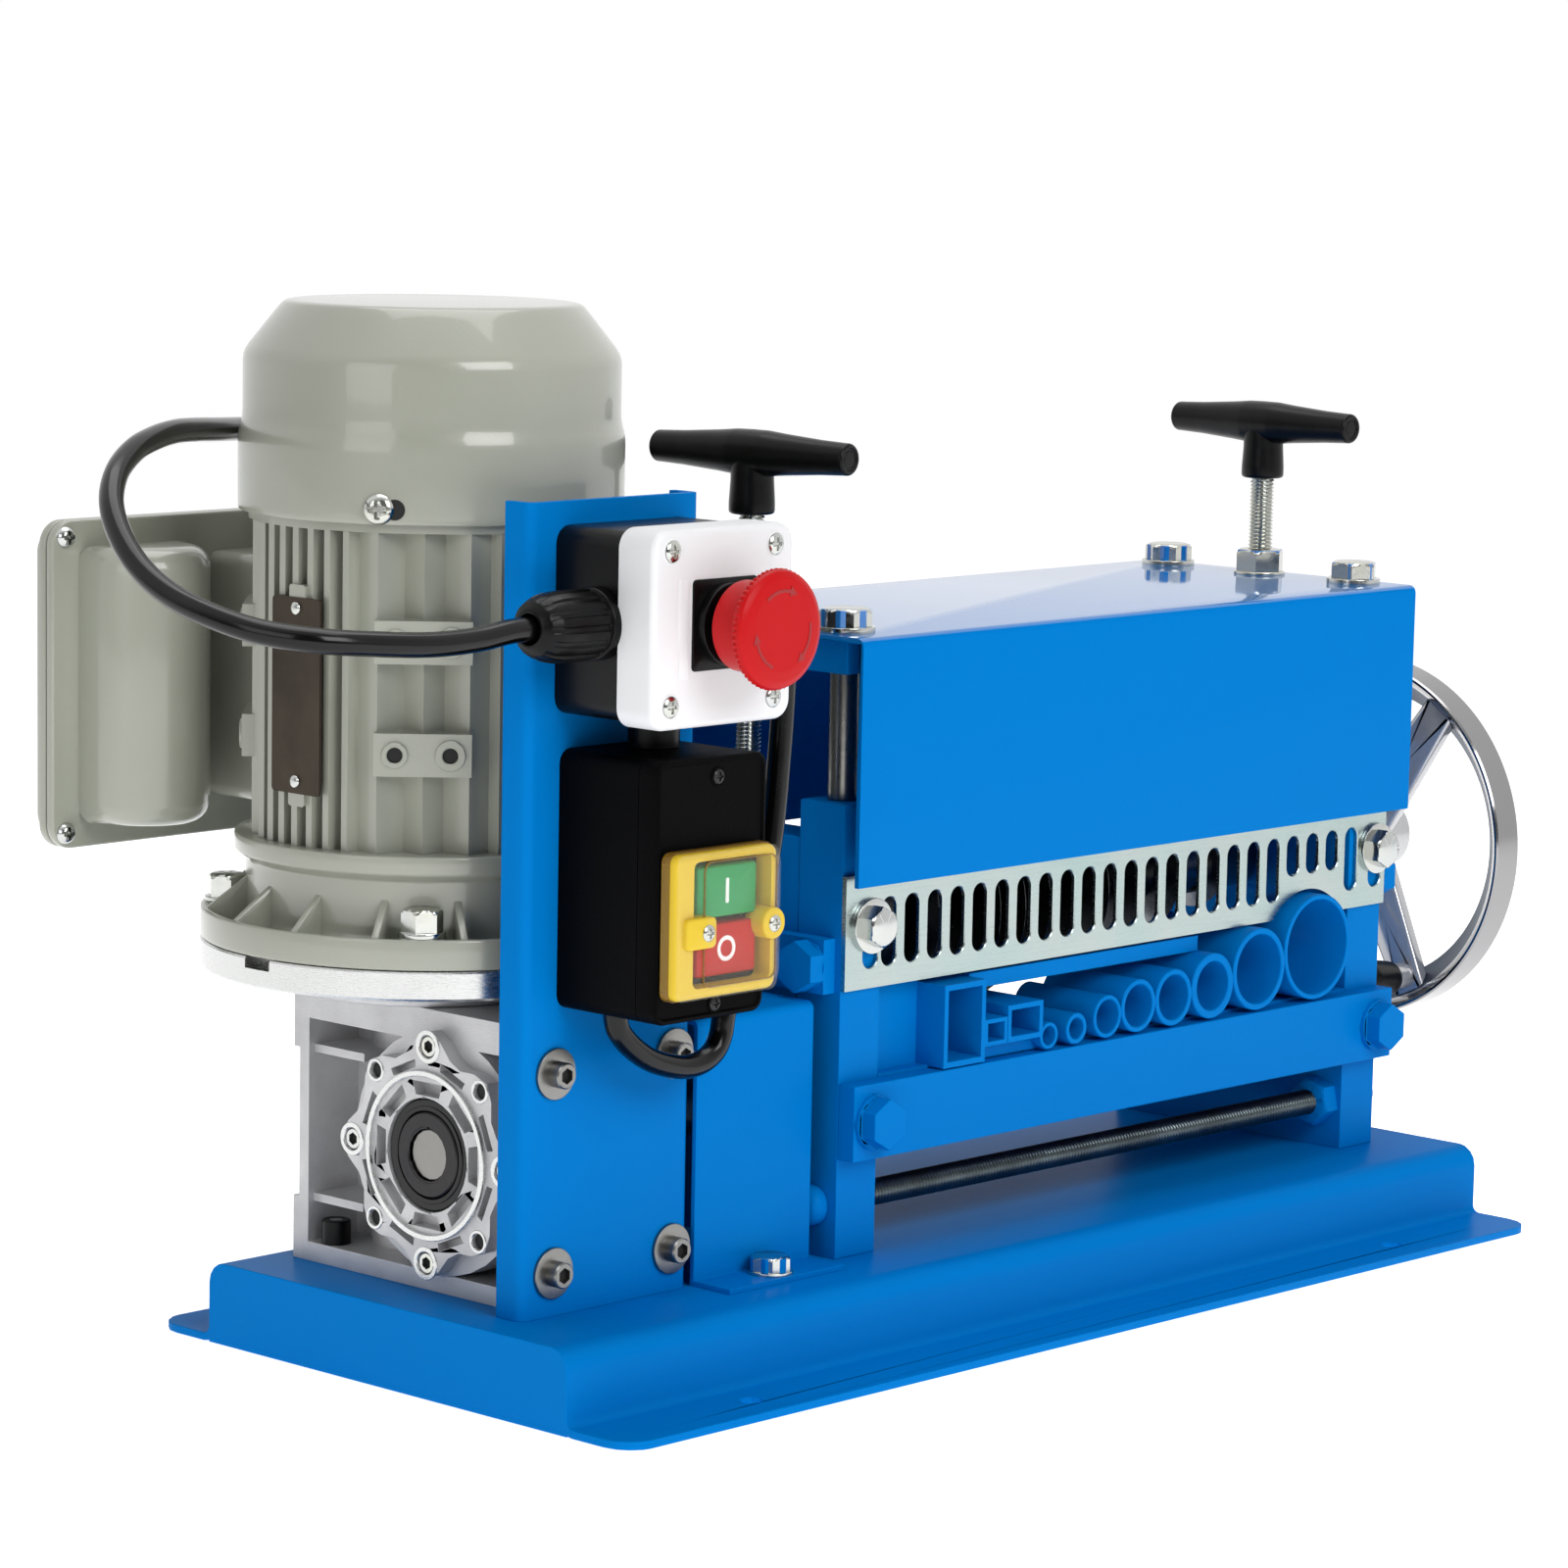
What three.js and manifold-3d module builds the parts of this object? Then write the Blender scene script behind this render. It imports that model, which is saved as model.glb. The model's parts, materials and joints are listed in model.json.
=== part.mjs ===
// Motor-driven bench machine that strips the insulation off cable, with a handwheel on its blade shaft.
// Millimetres, +Z up, +X along the machine from the gearbox to the handwheel, +Y away from the operator.
import * as THREE from 'three';
import { mergeVertices } from 'three/addons/utils/BufferGeometryUtils.js';
import Module from 'manifold-3d';

const wasm = await Module();
wasm.setup();

// Facet counts of round stretches.
const fineSides = 32;
const roundSides = 24;
const smallSides = 16;
const tinySides = 8;
const hexSides = 6;
const arcSteps = 4;
const pocketSteps = 1;
const slotSteps = 3;
const boltSides = 12;
const lobeSides = 5;

// Clearances and the overrun of cuts.
const gap = 0.3;
const over = 1;
const weld = 0.4;

// Base: one folded sheet tray, open below, with a bolting flange along each long side.
const base = {
  length: 516, width: 184, height: 30, sheet: 3, flange: 30,
  bend: 8, footBend: 3, corner: 12, holeRadius: 4.5, holeInset: 75, holeShare: 0.5,
  originOut: 11.5,
};

// Worm gearbox: the hollow output shaft lies along X and the worm stands upright behind it.
const gearbox = {
  x: 59.5, axisHeight: 50, halfHeight: 50.5, wormOffset: 42.5, frontReach: 50, rearReach: 76.5,
  halfBody: 33, halfWeb: 9, plate: 7, topPlate: 11.7, padDepth: 3, padHeight: 23, rearWall: 5,
  wheelRadius: 43.6, wormRadius: 19, sideRib: 3, boltBoss: 6, footScrewRadius: 5, footScrewHead: 8.5,
};
const outputCover = {
  thickness: 6, meanRadius: 39.5, lobe: 3.6, crossLobe: 0.9, lobeCount: 8,
  boltCircle: 37.5, tapRadius: 3, screwCircle: 38.6, screwRecess: 4.3,
  outerPocket: [31.2, 34], outerPocketShare: 0.5, innerPocket: [21.9, 26.8], innerPocketShare: 0.7,
  pilotRadius: 30, pilotWidth: 1.8, pilotStep: 1.5, recess: 1,
};
const seal = { radius: 20, width: 5, setBack: 1 };
const hollowShaft = { radius: 15, bore: 9.3, halfLength: 38.6, keySlot: 3.3, keySlotRadius: 11.6 };
const adapter = { radius: 81, neckRadius: 48, neck: 8, thickness: 10.5, notch: 12, notchDepth: 3 };

// Motor, upright on the gearbox.
const motor = {
  flangeRadius: 81, flangePlate: 5, rimHeight: 11, rimWidth: 3, bellRadius: 69, bellHeight: 38,
  bellNeck: 62, ribCount: 16, ribWidth: 2.5, coreRadius: 51, finRadius: 64, finWidth: 3,
  finPitch: 7.2, finsEachWay: 3, frameHeight: 114.4, padWidth: 46, padReach: 62, padGroove: 7,
  lugWidth: 34, lugHeight: 15, lugReach: 65.5, lowLug: 35, highLug: 74,
};
const fanCover = {
  radius: 68.4, upperRadius: 66.8, topRadius: 53.8, skirt: 27.5, step: 5, shoulder: 23, cone: 16.3,
  crown: 2, sheet: 2, lap: 8,
};
const fan = { hub: 14, reach: 58, bladeCount: 6, bladeWidth: 2.5, bladeHeight: 26, disc: 3, shaft: 7, lift: 12 };
const terminalBox = {
  width: 183, height: 118, centreDrop: 8.8, rim: 4, lid: 10, lidStep: 3, corner: 9, plane: 233,
  bulgeRadius: 23, bulgeOut: 33, bulgeInset: 12, bulgeMargin: 9, neckWidth: 70, neckMargin: 14,
  gland: 9, glandLength: 11, glandHole: 5, glandOffset: 25.5, glandSetBack: 15,
  sideGlandOffset: 74.5, sideGlandDrop: 24, sideGlandFront: 47, sideGlandFloor: 33,
};

// Machine frame: two thick U plates joined by a bar, a tie rod, two top bars and the hood.
const frame = {
  left: 169, span: 321, thick: 21, depth: 117, top: 197, post: 21.5, slotFloor: 112,
  boltRadius: 5, boltDepth: 25, boltFlats: 16.5, boltHead: 6.4, washerRadius: 10.5, washer: 2,
};
const lowerBar = { thick: 8, bottom: 67, height: 28, boltHeight: 14 };
const tieRod = { radius: 5, height: 19, domeRadius: 7.5, dome: 7.5, nutFlats: 17, nut: 8 };
const topBar = { bottom: 244, thick: 12 };
const hood = { left: 166, right: 493, front: 23, sheet: 2, top: 258, bottom: 168, bend: 3 };
const strip = {
  thick: 2, bottom: 129, height: 42, slotWidth: 8, slotBottom: 7.3, slotTop: 32.5, slotPitch: 12.5,
  firstSlot: 23.5, slotCount: 22, shortSlots: 3, shortRise: 9.4, longSlot: 298.5, endInset: 13.5,
  archRise: 10.6, archClear: 7, boltFlats: 13, boltHead: 5.3, washerRadius: 10, washer: 1.6, boltRise: 23,
};
const keeper = { thick: 6, bottom: 128, height: 20, inset: 3, lap: 10.5 };
const block = { floorGap: 4, top: 183, slotWidth: 8.3, neckWidth: 5.4, slotHeight: 6, roof: 4 };

// Shafts, rollers and blades.
const shafts = {
  spacing: 64, radius: 10, driveEnd: 9, keyReach: 11.2, keyHalf: 3, driveStart: 22, outerEnd: 8,
  lowerTail: 6, shoulder: 500,
};
const gear = { module: 3, teeth: 21, width: 12, inset: 4, rootShare: 0.66, tipShare: 0.25, rootDepthShare: 1.25 };
const roller = { radius: 18, start: 213, end: 467 };
const gripRoller = { radius: 26, start: 213, end: 240, rim: 1.5 };
const blades = { sleeve: 13, start: 241, end: 467, halfWidth: 2.4, cutShare: 0.7 };

// Guide tubes, welded side by side on a shelf behind the lower bar; places are along the shelf.
const guides = {
  front: 25.5, length: 40.5, shelf: 3, shelfDepth: 24, lift: 1, firstRound: 107.7, secondRound: 123.5,
  largeCentre: 270.8,
};
const smallRounds = [{ diameter: 9.9, wall: 1.2 }, { diameter: 11.6, wall: 1.6 }];
const mediumRounds = [{ diameter: 16.4, wall: 1.7 }, { diameter: 20.4, wall: 2 }, { diameter: 22, wall: 2.2 }];
const largeRounds = [{ diameter: 25.6, wall: 3.2 }, { diameter: 32.4, wall: 2.4 }, { diameter: 42, wall: 2 }];
const tallTube = { offset: 48.2, width: 23, height: 31, wall: 2.2 };
const squareTube = { offset: 71.2, width: 12.5, height: 10, wall: 1.6 };
const flatTube = { offset: 84, width: 20, height: 14, wall: 2 };
const spacer = { height: 5.5, offset: 71.2, width: 36, depth: 24, setBack: 5 };
const carrier = { width: 7, thick: 6, setBack: 8.2 };
const filler = { setBack: 14, thick: 4 };

// Handwheel with a turning grip that points back to the frame.
const wheel = {
  x: 547, width: 15, radius: 75, rimFace: 3.5, innerNear: 70, innerFar: 61, hub: 15, hubStart: 541,
  hubLength: 28, spokeStart: 4, spokeThick: 7, spokeHub: 11, spokeRim: 7.5, spokeCount: 3,
  spokeShare: 0.68, gripCircle: 62, bore: 8.3, pinRadius: 3.5, ferrule: 5.5, ferruleLength: 4,
};
const grip = { radius: 8.5, neck: 6.5, length: 34, bore: 3.8, bulge: 9.5 };

// Pressure screws with T handles.
const screw = { radius: 5, collar: 8, collarHeight: 5.2, nutFlats: 17, nut: 10, nutNeck: 8 };
const tee = {
  hubBottom: 297, barHeight: 319.5, hubRadius: 8.5, halfLength: 44.4, barRadius: 8.5, endRadius: 5.8,
  endRound: 1.6, socket: 18, leftTurn: 6,
};

// Bracket with the two switch stations.
const bracket = { left: 16, width: 82, sheet: 3, sideFlange: 12.6, top: 312.5, bend: 3.8 };
const estop = {
  left: 26.5, bottom: 238.5, width: 68, height: 67.5, baseDepth: 31.6, lidDepth: 16.9, corner: 6,
  baseInset: 1.5, insert: 15.5, insertDepth: 3, collarRadius: 14, collarOut: 4, axisRise: 34.8,
  plungerRadius: 9, plungerOut: 7, stroke: 4, neckRadius: 15.5, capRadius: 20.5, capStart: 22,
  capThick: 4, capCrown: 1.5, well: 16,
};
const gland = {
  neck: 5.2, collar: 12.5, collarLength: 4.5, body: 12, bodyLength: 15, nose: 11.4, shoulder: 11, noseLength: 13.5,
  mouth: 6.3, bore: 5, sides: 14, setBack: 21, drop: 0.3, linkRing: 1.2, linkRadius: 9,
};
const station = {
  left: 31, bottom: 138, width: 53, height: 90, boxDepth: 38, lidDepth: 9.5, corner: 5,
  frameLeft: 2, frameBottom: 9, frameWidth: 49.5, frameHeight: 50, frameOut: 7.5, frameBevel: 2.5,
  frameCorner: 3, frameEdge: 2, windowLeft: 14.5, windowBottom: 14.5, windowWidth: 31, windowHeight: 40,
  leadLeft: 9.6, leadBack: 19, leadHole: 5.4, leadDepth: 3.5,
  buttonGap: 1, buttonOut: 3.5, buttonDepth: 5, stroke: 3, earRadius: 5.5, earLeft: 15.2, earRight: 47.5,
  earRise: 32, earOut: 2.5, coverWall: 1.5, coverOut: 3,
};

// Sheet guard over the shaft between gearbox and frame.
const guard = { left: 100, right: 160, front: 38, sheet: 2, top: 126, foot: 18, corner: 6, bend: 3 };

// Free leads, as points in the machine's own frame.
const leadRadius = 4.25;
const leadSides = 8;
const motorLeadSteps = 46;
const stationLeadSteps = 46;

// Places worked out from the sizes above.
const midY = base.width / 2;
const deck = base.height;
const driveZ = deck + gearbox.axisHeight;
const bladeZ = driveZ + shafts.spacing;
const frameFront = midY - frame.depth / 2;
const frameRear = midY + frame.depth / 2;
const frameRight = frame.left + frame.span;
const rightPlate = frameRight - frame.thick;
const leftInner = frame.left + frame.thick;
const screwLeft = frame.left + frame.thick / 2;
const screwRight = rightPlate + frame.thick / 2;
const postFront = frameFront + frame.post / 2;
const postRear = frameRear - frame.post / 2;
const wormY = midY + gearbox.wormOffset;
const gearTop = driveZ + gearbox.halfHeight;
const adapterTop = gearTop + adapter.neck + adapter.thickness;
const bellTop = adapterTop + motor.bellHeight;
const skirtBottom = bellTop + motor.frameHeight;
const gearFront = midY - gearbox.frontReach;
const panelFront = gearFront - bracket.sheet;
const shelfTop = lowerBar.bottom + lowerBar.height + guides.lift;

const blue = paint(0x0a6fc4, 0.35, 0.1);
const zinc = paint(0xb9bfbd, 0.35, 0.9);
const steel = paint(0x9a9a98, 0.4, 0.9);
const darkSteel = paint(0x34373a, 0.5, 0.7);
const castAluminium = paint(0xb4b6b5, 0.45, 0.8);
const motorPaint = paint(0x8f9387, 0.4, 0.1);
const blackPlastic = paint(0x17181a, 0.45, 0);
const rubber = paint(0x101113, 0.6, 0);
const whitePlastic = paint(0xe8e9ea, 0.45, 0);
const red = paint(0xc81f2b, 0.4, 0);
const green = paint(0x159a55, 0.4, 0);
const yellow = paint(0xf0cf35, 0.45, 0);
const clear = paint(0xdde3e6, 0.1, 0);
clear.transparent = true;
clear.opacity = 0.35;

function paint(color, roughness, metalness) {
  return new THREE.MeshStandardMaterial({ color, roughness, metalness });
}

// Solids: a three.js geometry becomes a closed solid that can be joined and cut.
function solid(geometry) {
  const bare = geometry.clone();
  bare.deleteAttribute('normal');
  bare.deleteAttribute('uv');
  const merged = mergeVertices(bare);
  const at = merged.attributes.position;
  const kept = [];
  let volume = 0;
  for (let i = 0; i < merged.index.count; i += 3) {
    const [a, b, c] = [0, 1, 2].map((k) => merged.index.getX(i + k));
    if (a === b || b === c || a === c) continue;
    kept.push(a, b, c);
    const [p, q, r] = [a, b, c].map((k) => new THREE.Vector3().fromBufferAttribute(at, k));
    volume += p.dot(q.cross(r));
  }
  if (volume < 0) kept.reverse();
  return new wasm.Manifold(new wasm.Mesh({
    numProp: 3, vertProperties: new Float32Array(at.array), triVerts: new Uint32Array(kept),
  }));
}

function geometryOf(body) {
  const mesh = body.getMesh();
  const geometry = new THREE.BufferGeometry();
  geometry.setAttribute('position', new THREE.BufferAttribute(mesh.vertProperties, 3));
  geometry.setIndex(new THREE.BufferAttribute(mesh.triVerts, 1));
  const faceted = geometry.toNonIndexed();
  faceted.computeVertexNormals();
  return faceted;
}

const machine = new THREE.Group();
function piece(name, body, material, parent = machine) {
  const mesh = new THREE.Mesh(geometryOf(body), material.clone());
  mesh.name = name;
  parent.add(mesh);
  return mesh;
}

const join = (bodies) => bodies.reduce((sum, body) => sum.add(body));
const cut = (body, tools) => tools.reduce((rest, tool) => rest.subtract(tool), body);

function box(low, high) {
  const size = high.map((value, i) => value - low[i]);
  const geometry = new THREE.BoxGeometry(...size);
  geometry.translate(...high.map((value, i) => (value + low[i]) / 2));
  return solid(geometry);
}

// Plane coordinates: along x they are (y, z), along y (x, z) and along z (x, y).
const X = new THREE.Vector3(1, 0, 0);
const Y = new THREE.Vector3(0, 1, 0);
const Z = new THREE.Vector3(0, 0, 1);
const extrudeBasis = {
  x: new THREE.Matrix4().makeBasis(Y, Z, X),
  y: new THREE.Matrix4().makeBasis(X, Z, Y.clone().negate()),
  z: new THREE.Matrix4(),
};
const turnBasis = {
  x: new THREE.Matrix4().makeBasis(Y, X, Z.clone().negate()),
  y: new THREE.Matrix4(),
  z: new THREE.Matrix4().makeBasis(X, Z, Y.clone().negate()),
};

function extrude(axis, from, to, outline, holes = []) {
  const shape = new THREE.Shape(outline);
  shape.holes = holes.map((hole) => new THREE.Path(hole));
  const geometry = new THREE.ExtrudeGeometry(shape, { depth: to - from, bevelEnabled: false });
  geometry.applyMatrix4(extrudeBasis[axis]);
  const start = axis === 'y' ? to : from;
  geometry.translate(axis === 'x' ? start : 0, axis === 'y' ? start : 0, axis === 'z' ? start : 0);
  return solid(geometry);
}

// A profile of [radius, place along the axis] turned about the axis through a centre in the plane.
function turn(axis, centre, profile, sides) {
  const points = profile.map(([radius, along]) => new THREE.Vector2(radius, along));
  const geometry = new THREE.LatheGeometry(points, sides);
  geometry.applyMatrix4(turnBasis[axis]);
  const [a, b] = centre;
  if (axis === 'x') geometry.translate(0, a, b);
  if (axis === 'y') geometry.translate(a, 0, b);
  if (axis === 'z') geometry.translate(a, b, 0);
  return solid(geometry);
}

function rod(axis, centre, radius, from, to, sides = smallSides) {
  return turn(axis, centre, [[0, from], [radius, from], [radius, to], [0, to]], sides);
}

function pipe(axis, centre, outer, inner, from, to, sides = smallSides) {
  const profile = [[inner, from], [outer, from], [outer, to], [inner, to], [inner, from]];
  return turn(axis, centre, profile, sides);
}

function hexagon(axis, centre, flats, from, to) {
  return rod(axis, centre, flats / Math.sqrt(3), from, to, hexSides);
}

// Outlines made of arcs.
function arc(cx, cy, radius, from, to, steps = arcSteps) {
  return Array.from({ length: steps + 1 }, (_, i) => {
    const angle = THREE.MathUtils.degToRad(from + (to - from) * i / steps);
    return new THREE.Vector2(cx + radius * Math.cos(angle), cy + radius * Math.sin(angle));
  });
}

function circle(cx, cy, radius, sides = tinySides) {
  return arc(cx, cy, radius, 0, 360, sides).slice(0, -1);
}

function roundedRect(left, low, right, high, radius, steps = arcSteps) {
  return [
    ...arc(right - radius, low + radius, radius, -90, 0, steps),
    ...arc(right - radius, high - radius, radius, 0, 90, steps),
    ...arc(left + radius, high - radius, radius, 90, 180, steps),
    ...arc(left + radius, low + radius, radius, 180, 270, steps),
  ];
}

function obround(cx, low, high, width) {
  const radius = width / 2;
  return [
    ...arc(cx, high - radius, radius, 0, 180, slotSteps),
    ...arc(cx, low + radius, radius, 180, 360, slotSteps),
  ];
}

const rect = (left, low, right, high) => [
  new THREE.Vector2(left, low), new THREE.Vector2(right, low),
  new THREE.Vector2(right, high), new THREE.Vector2(left, high),
];

const mirrorY = (points) => points.map((p) => new THREE.Vector2(base.width - p.x, p.y)).reverse();

// Base tray.
function baseTray() {
  const { sheet, bend, footBend, flange, height } = base;
  const outer = [
    new THREE.Vector2(-flange, 0), new THREE.Vector2(-flange, sheet),
    ...arc(-footBend, sheet + footBend, footBend, -90, 0),
    ...arc(bend, height - bend, bend, 180, 90),
  ];
  const inner = [
    ...arc(bend, height - bend, bend - sheet, 90, 180),
    ...arc(-footBend, sheet + footBend, footBend + sheet, 0, -90),
  ];
  const hat = extrude('x', 0, base.length, [...outer, ...mirrorY(outer), ...mirrorY(inner), ...inner]);
  const endOutline = [
    new THREE.Vector2(0, 0), ...arc(bend, height - bend, bend, 180, 90),
    ...mirrorY([new THREE.Vector2(0, 0), ...arc(bend, height - bend, bend, 180, 90)]),
  ];
  const plan = roundedRect(0, -flange, base.length, base.width + flange, base.corner);
  const tray = join([
    hat, extrude('x', 0, sheet, endOutline), extrude('x', base.length - sheet, base.length, endOutline),
  ]).intersect(extrude('z', -over, height + over, plan));
  const holes = [base.holeInset, base.length - base.holeInset].flatMap((x) => (
    [-flange, base.width + flange].map((edge) => {
      const y = edge + Math.sign(midY - edge) * flange * base.holeShare;
      return rod('z', [x, y], base.holeRadius, -over, sheet + over, tinySides);
    })
  ));
  return cut(tray, holes);
}
piece('base_tray', baseTray(), blue);

// Gearbox casting: end plates, a web, the wheel drum and the upright worm barrel.
function gearboxHousing() {
  const g = gearbox;
  const [low, high] = [g.x - g.halfBody, g.x + g.halfBody];
  const rear = midY + g.rearReach;
  const wall = rear - g.padDepth;
  const front = [gearFront, gearFront + g.plate];
  const parts = [
    box([low, gearFront, deck], [high, rear, deck + g.plate]),
    box([low, gearFront, gearTop - g.topPlate], [high, rear, gearTop]),
    box([low, front[0], deck], [high, front[1], gearTop]),
    box([low, wall - g.rearWall, deck], [high, wall, gearTop]),
    box([low, wall - g.rearWall, deck], [high, rear, deck + g.padHeight]),
    box([low, wall - g.rearWall, gearTop - g.padHeight], [high, rear, gearTop]),
    box([g.x - g.halfWeb, gearFront, deck], [g.x + g.halfWeb, wall, gearTop]),
    rod('z', [g.x, wormY], g.wormRadius, deck, gearTop, roundSides),
    rod('x', [midY, driveZ], g.wheelRadius, low, high, fineSides),
  ];
  [deck + g.padHeight, gearTop - g.padHeight].forEach((z) => {
    parts.push(box([low + g.sideRib, wormY, z - g.sideRib / 2], [high - g.sideRib, wall, z + g.sideRib / 2]));
  });
  const rightCover = rod('x', [midY, driveZ], outputCover.meanRadius, high - weld,
    high + outputCover.thickness, roundSides);
  const footScrew = rod('z', [low + g.boltBoss, wall - g.rearWall - g.footScrewHead], g.footScrewRadius,
    deck + g.plate - weld, deck + g.plate + g.footScrewHead, tinySides);
  const bore = rod('x', [midY, driveZ], hollowShaft.radius + gap, low - over,
    high + outputCover.thickness + over, roundSides);
  return cut(join([...parts, rightCover, footScrew]), [bore]);
}

// Cast output cover: lobed rim, two rings of pockets, raised pilot ring, tapped and screw lobes.
function coverOutline() {
  const c = outputCover;
  return Array.from({ length: c.lobeCount * lobeSides }, (_, i) => {
    const angle = i / (c.lobeCount * lobeSides) * Math.PI * 2;
    const radius = c.meanRadius + c.lobe * Math.cos(c.lobeCount * angle)
      + c.crossLobe * Math.cos(c.lobeCount / 2 * angle);
    return new THREE.Vector2(midY + radius * Math.cos(angle), driveZ + radius * Math.sin(angle));
  });
}

function arcPocket([inner, outer], middle, sweep) {
  return [
    ...arc(midY, driveZ, outer, middle - sweep / 2, middle + sweep / 2, pocketSteps),
    ...arc(midY, driveZ, inner, middle + sweep / 2, middle - sweep / 2, pocketSteps),
  ];
}

function outputCoverBody(face) {
  const c = outputCover;
  const pitch = 360 / c.lobeCount;
  const lobes = Array.from({ length: c.lobeCount }, (_, k) => k * pitch);
  const at = (angle, radius) => {
    const turned = THREE.MathUtils.degToRad(angle);
    return [midY + radius * Math.cos(turned), driveZ + radius * Math.sin(turned)];
  };
  const holes = [circle(midY, driveZ, seal.radius + gap, fineSides)];
  lobes.forEach((angle, k) => {
    holes.push(arcPocket(c.outerPocket, angle + pitch / 2, pitch * c.outerPocketShare));
    holes.push(arcPocket(c.innerPocket, angle, pitch * c.innerPocketShare));
    const tapped = k % 2 === 1;
    const [y, z] = at(angle, tapped ? c.boltCircle : c.screwCircle);
    holes.push(circle(y, z, tapped ? c.tapRadius : c.screwRecess));
  });
  const outer = face - c.thickness;
  const plate = extrude('x', outer, face - c.recess, coverOutline(), holes);
  const backing = extrude('x', face - c.recess, face, coverOutline(), [holes[0]]);
  const pilot = pipe('x', [midY, driveZ], c.pilotRadius, c.pilotRadius - c.pilotWidth,
    outer - c.pilotStep, outer + weld, fineSides);
  return join([plate, backing, pilot]);
}
piece('gearbox_housing', gearboxHousing(), castAluminium);

const leftFace = gearbox.x - gearbox.halfBody;
piece('left_output_cover', outputCoverBody(leftFace), castAluminium);
const coverFace = leftFace - outputCover.thickness;
piece('output_seal', pipe('x', [midY, driveZ], seal.radius, hollowShaft.radius + gap,
  coverFace + seal.setBack, coverFace + seal.setBack + seal.width, roundSides), rubber);

// Output sleeve with its key slot; the machine's lower shaft runs through it with a key.
function keyed(radius, reach, half, sides) {
  const start = Math.asin(half / radius) * 180 / Math.PI;
  return [
    new THREE.Vector2(midY + reach, driveZ - half), new THREE.Vector2(midY + reach, driveZ + half),
    ...arc(midY, driveZ, radius, start, 360 - start, sides),
  ];
}

function outputSleeve() {
  const h = hollowShaft;
  const outline = circle(midY, driveZ, h.radius, roundSides);
  const bore = keyed(h.bore, h.keySlotRadius, h.keySlot, smallSides);
  return extrude('x', gearbox.x - h.halfLength, gearbox.x + h.halfLength, outline, [bore]);
}
piece('output_sleeve', outputSleeve(), darkSteel);

// Round flange between gearbox and motor.
function adapterFlange() {
  const top = gearTop + adapter.neck;
  const neck = rod('z', [gearbox.x, wormY], adapter.neckRadius, gearTop, top + weld, roundSides);
  const disc = rod('z', [gearbox.x, wormY], adapter.radius, top, adapterTop, fineSides);
  const notch = box([gearbox.x - adapter.radius - over, wormY - adapter.notch / 2, adapterTop - adapter.notchDepth],
    [gearbox.x - adapter.radius + adapter.notchDepth, wormY + adapter.notch / 2, adapterTop + over]);
  return cut(join([neck, disc]), [notch]);
}
piece('adapter_flange', adapterFlange(), castAluminium);

// Motor end bell: a dished flange with gusset ribs round the bell.
function motorBell() {
  const m = motor;
  const centre = [gearbox.x, wormY];
  const plateTop = adapterTop + m.flangePlate;
  const body = turn('z', centre, [
    [0, adapterTop], [m.flangeRadius, adapterTop], [m.flangeRadius, adapterTop + m.rimHeight],
    [m.flangeRadius - m.rimWidth, adapterTop + m.rimHeight], [m.flangeRadius - m.rimWidth, plateTop],
    [m.bellNeck, plateTop], [m.bellNeck, bellTop - m.rimHeight], [m.bellRadius, bellTop - m.flangePlate],
    [m.bellRadius, bellTop], [0, bellTop],
  ], fineSides);
  const rib = [
    new THREE.Vector2(m.bellNeck - over, plateTop - weld), new THREE.Vector2(m.flangeRadius - m.rimWidth / 2, plateTop - weld),
    new THREE.Vector2(m.flangeRadius - m.rimWidth / 2, adapterTop + m.rimHeight),
    new THREE.Vector2(m.bellNeck - over, adapterTop + m.rimHeight * 2),
  ];
  const ribs = Array.from({ length: m.ribCount }, (_, i) => {
    const shape = new THREE.Shape(rib);
    const geometry = new THREE.ExtrudeGeometry(shape, { depth: m.ribWidth, bevelEnabled: false });
    geometry.translate(0, 0, -m.ribWidth / 2);
    geometry.rotateX(Math.PI / 2);
    geometry.rotateZ((i + 0.5) / m.ribCount * Math.PI * 2);
    geometry.translate(gearbox.x, wormY, 0);
    return solid(geometry);
  });
  return join([body, ...ribs]);
}
piece('motor_bell', motorBell(), motorPaint);

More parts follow.
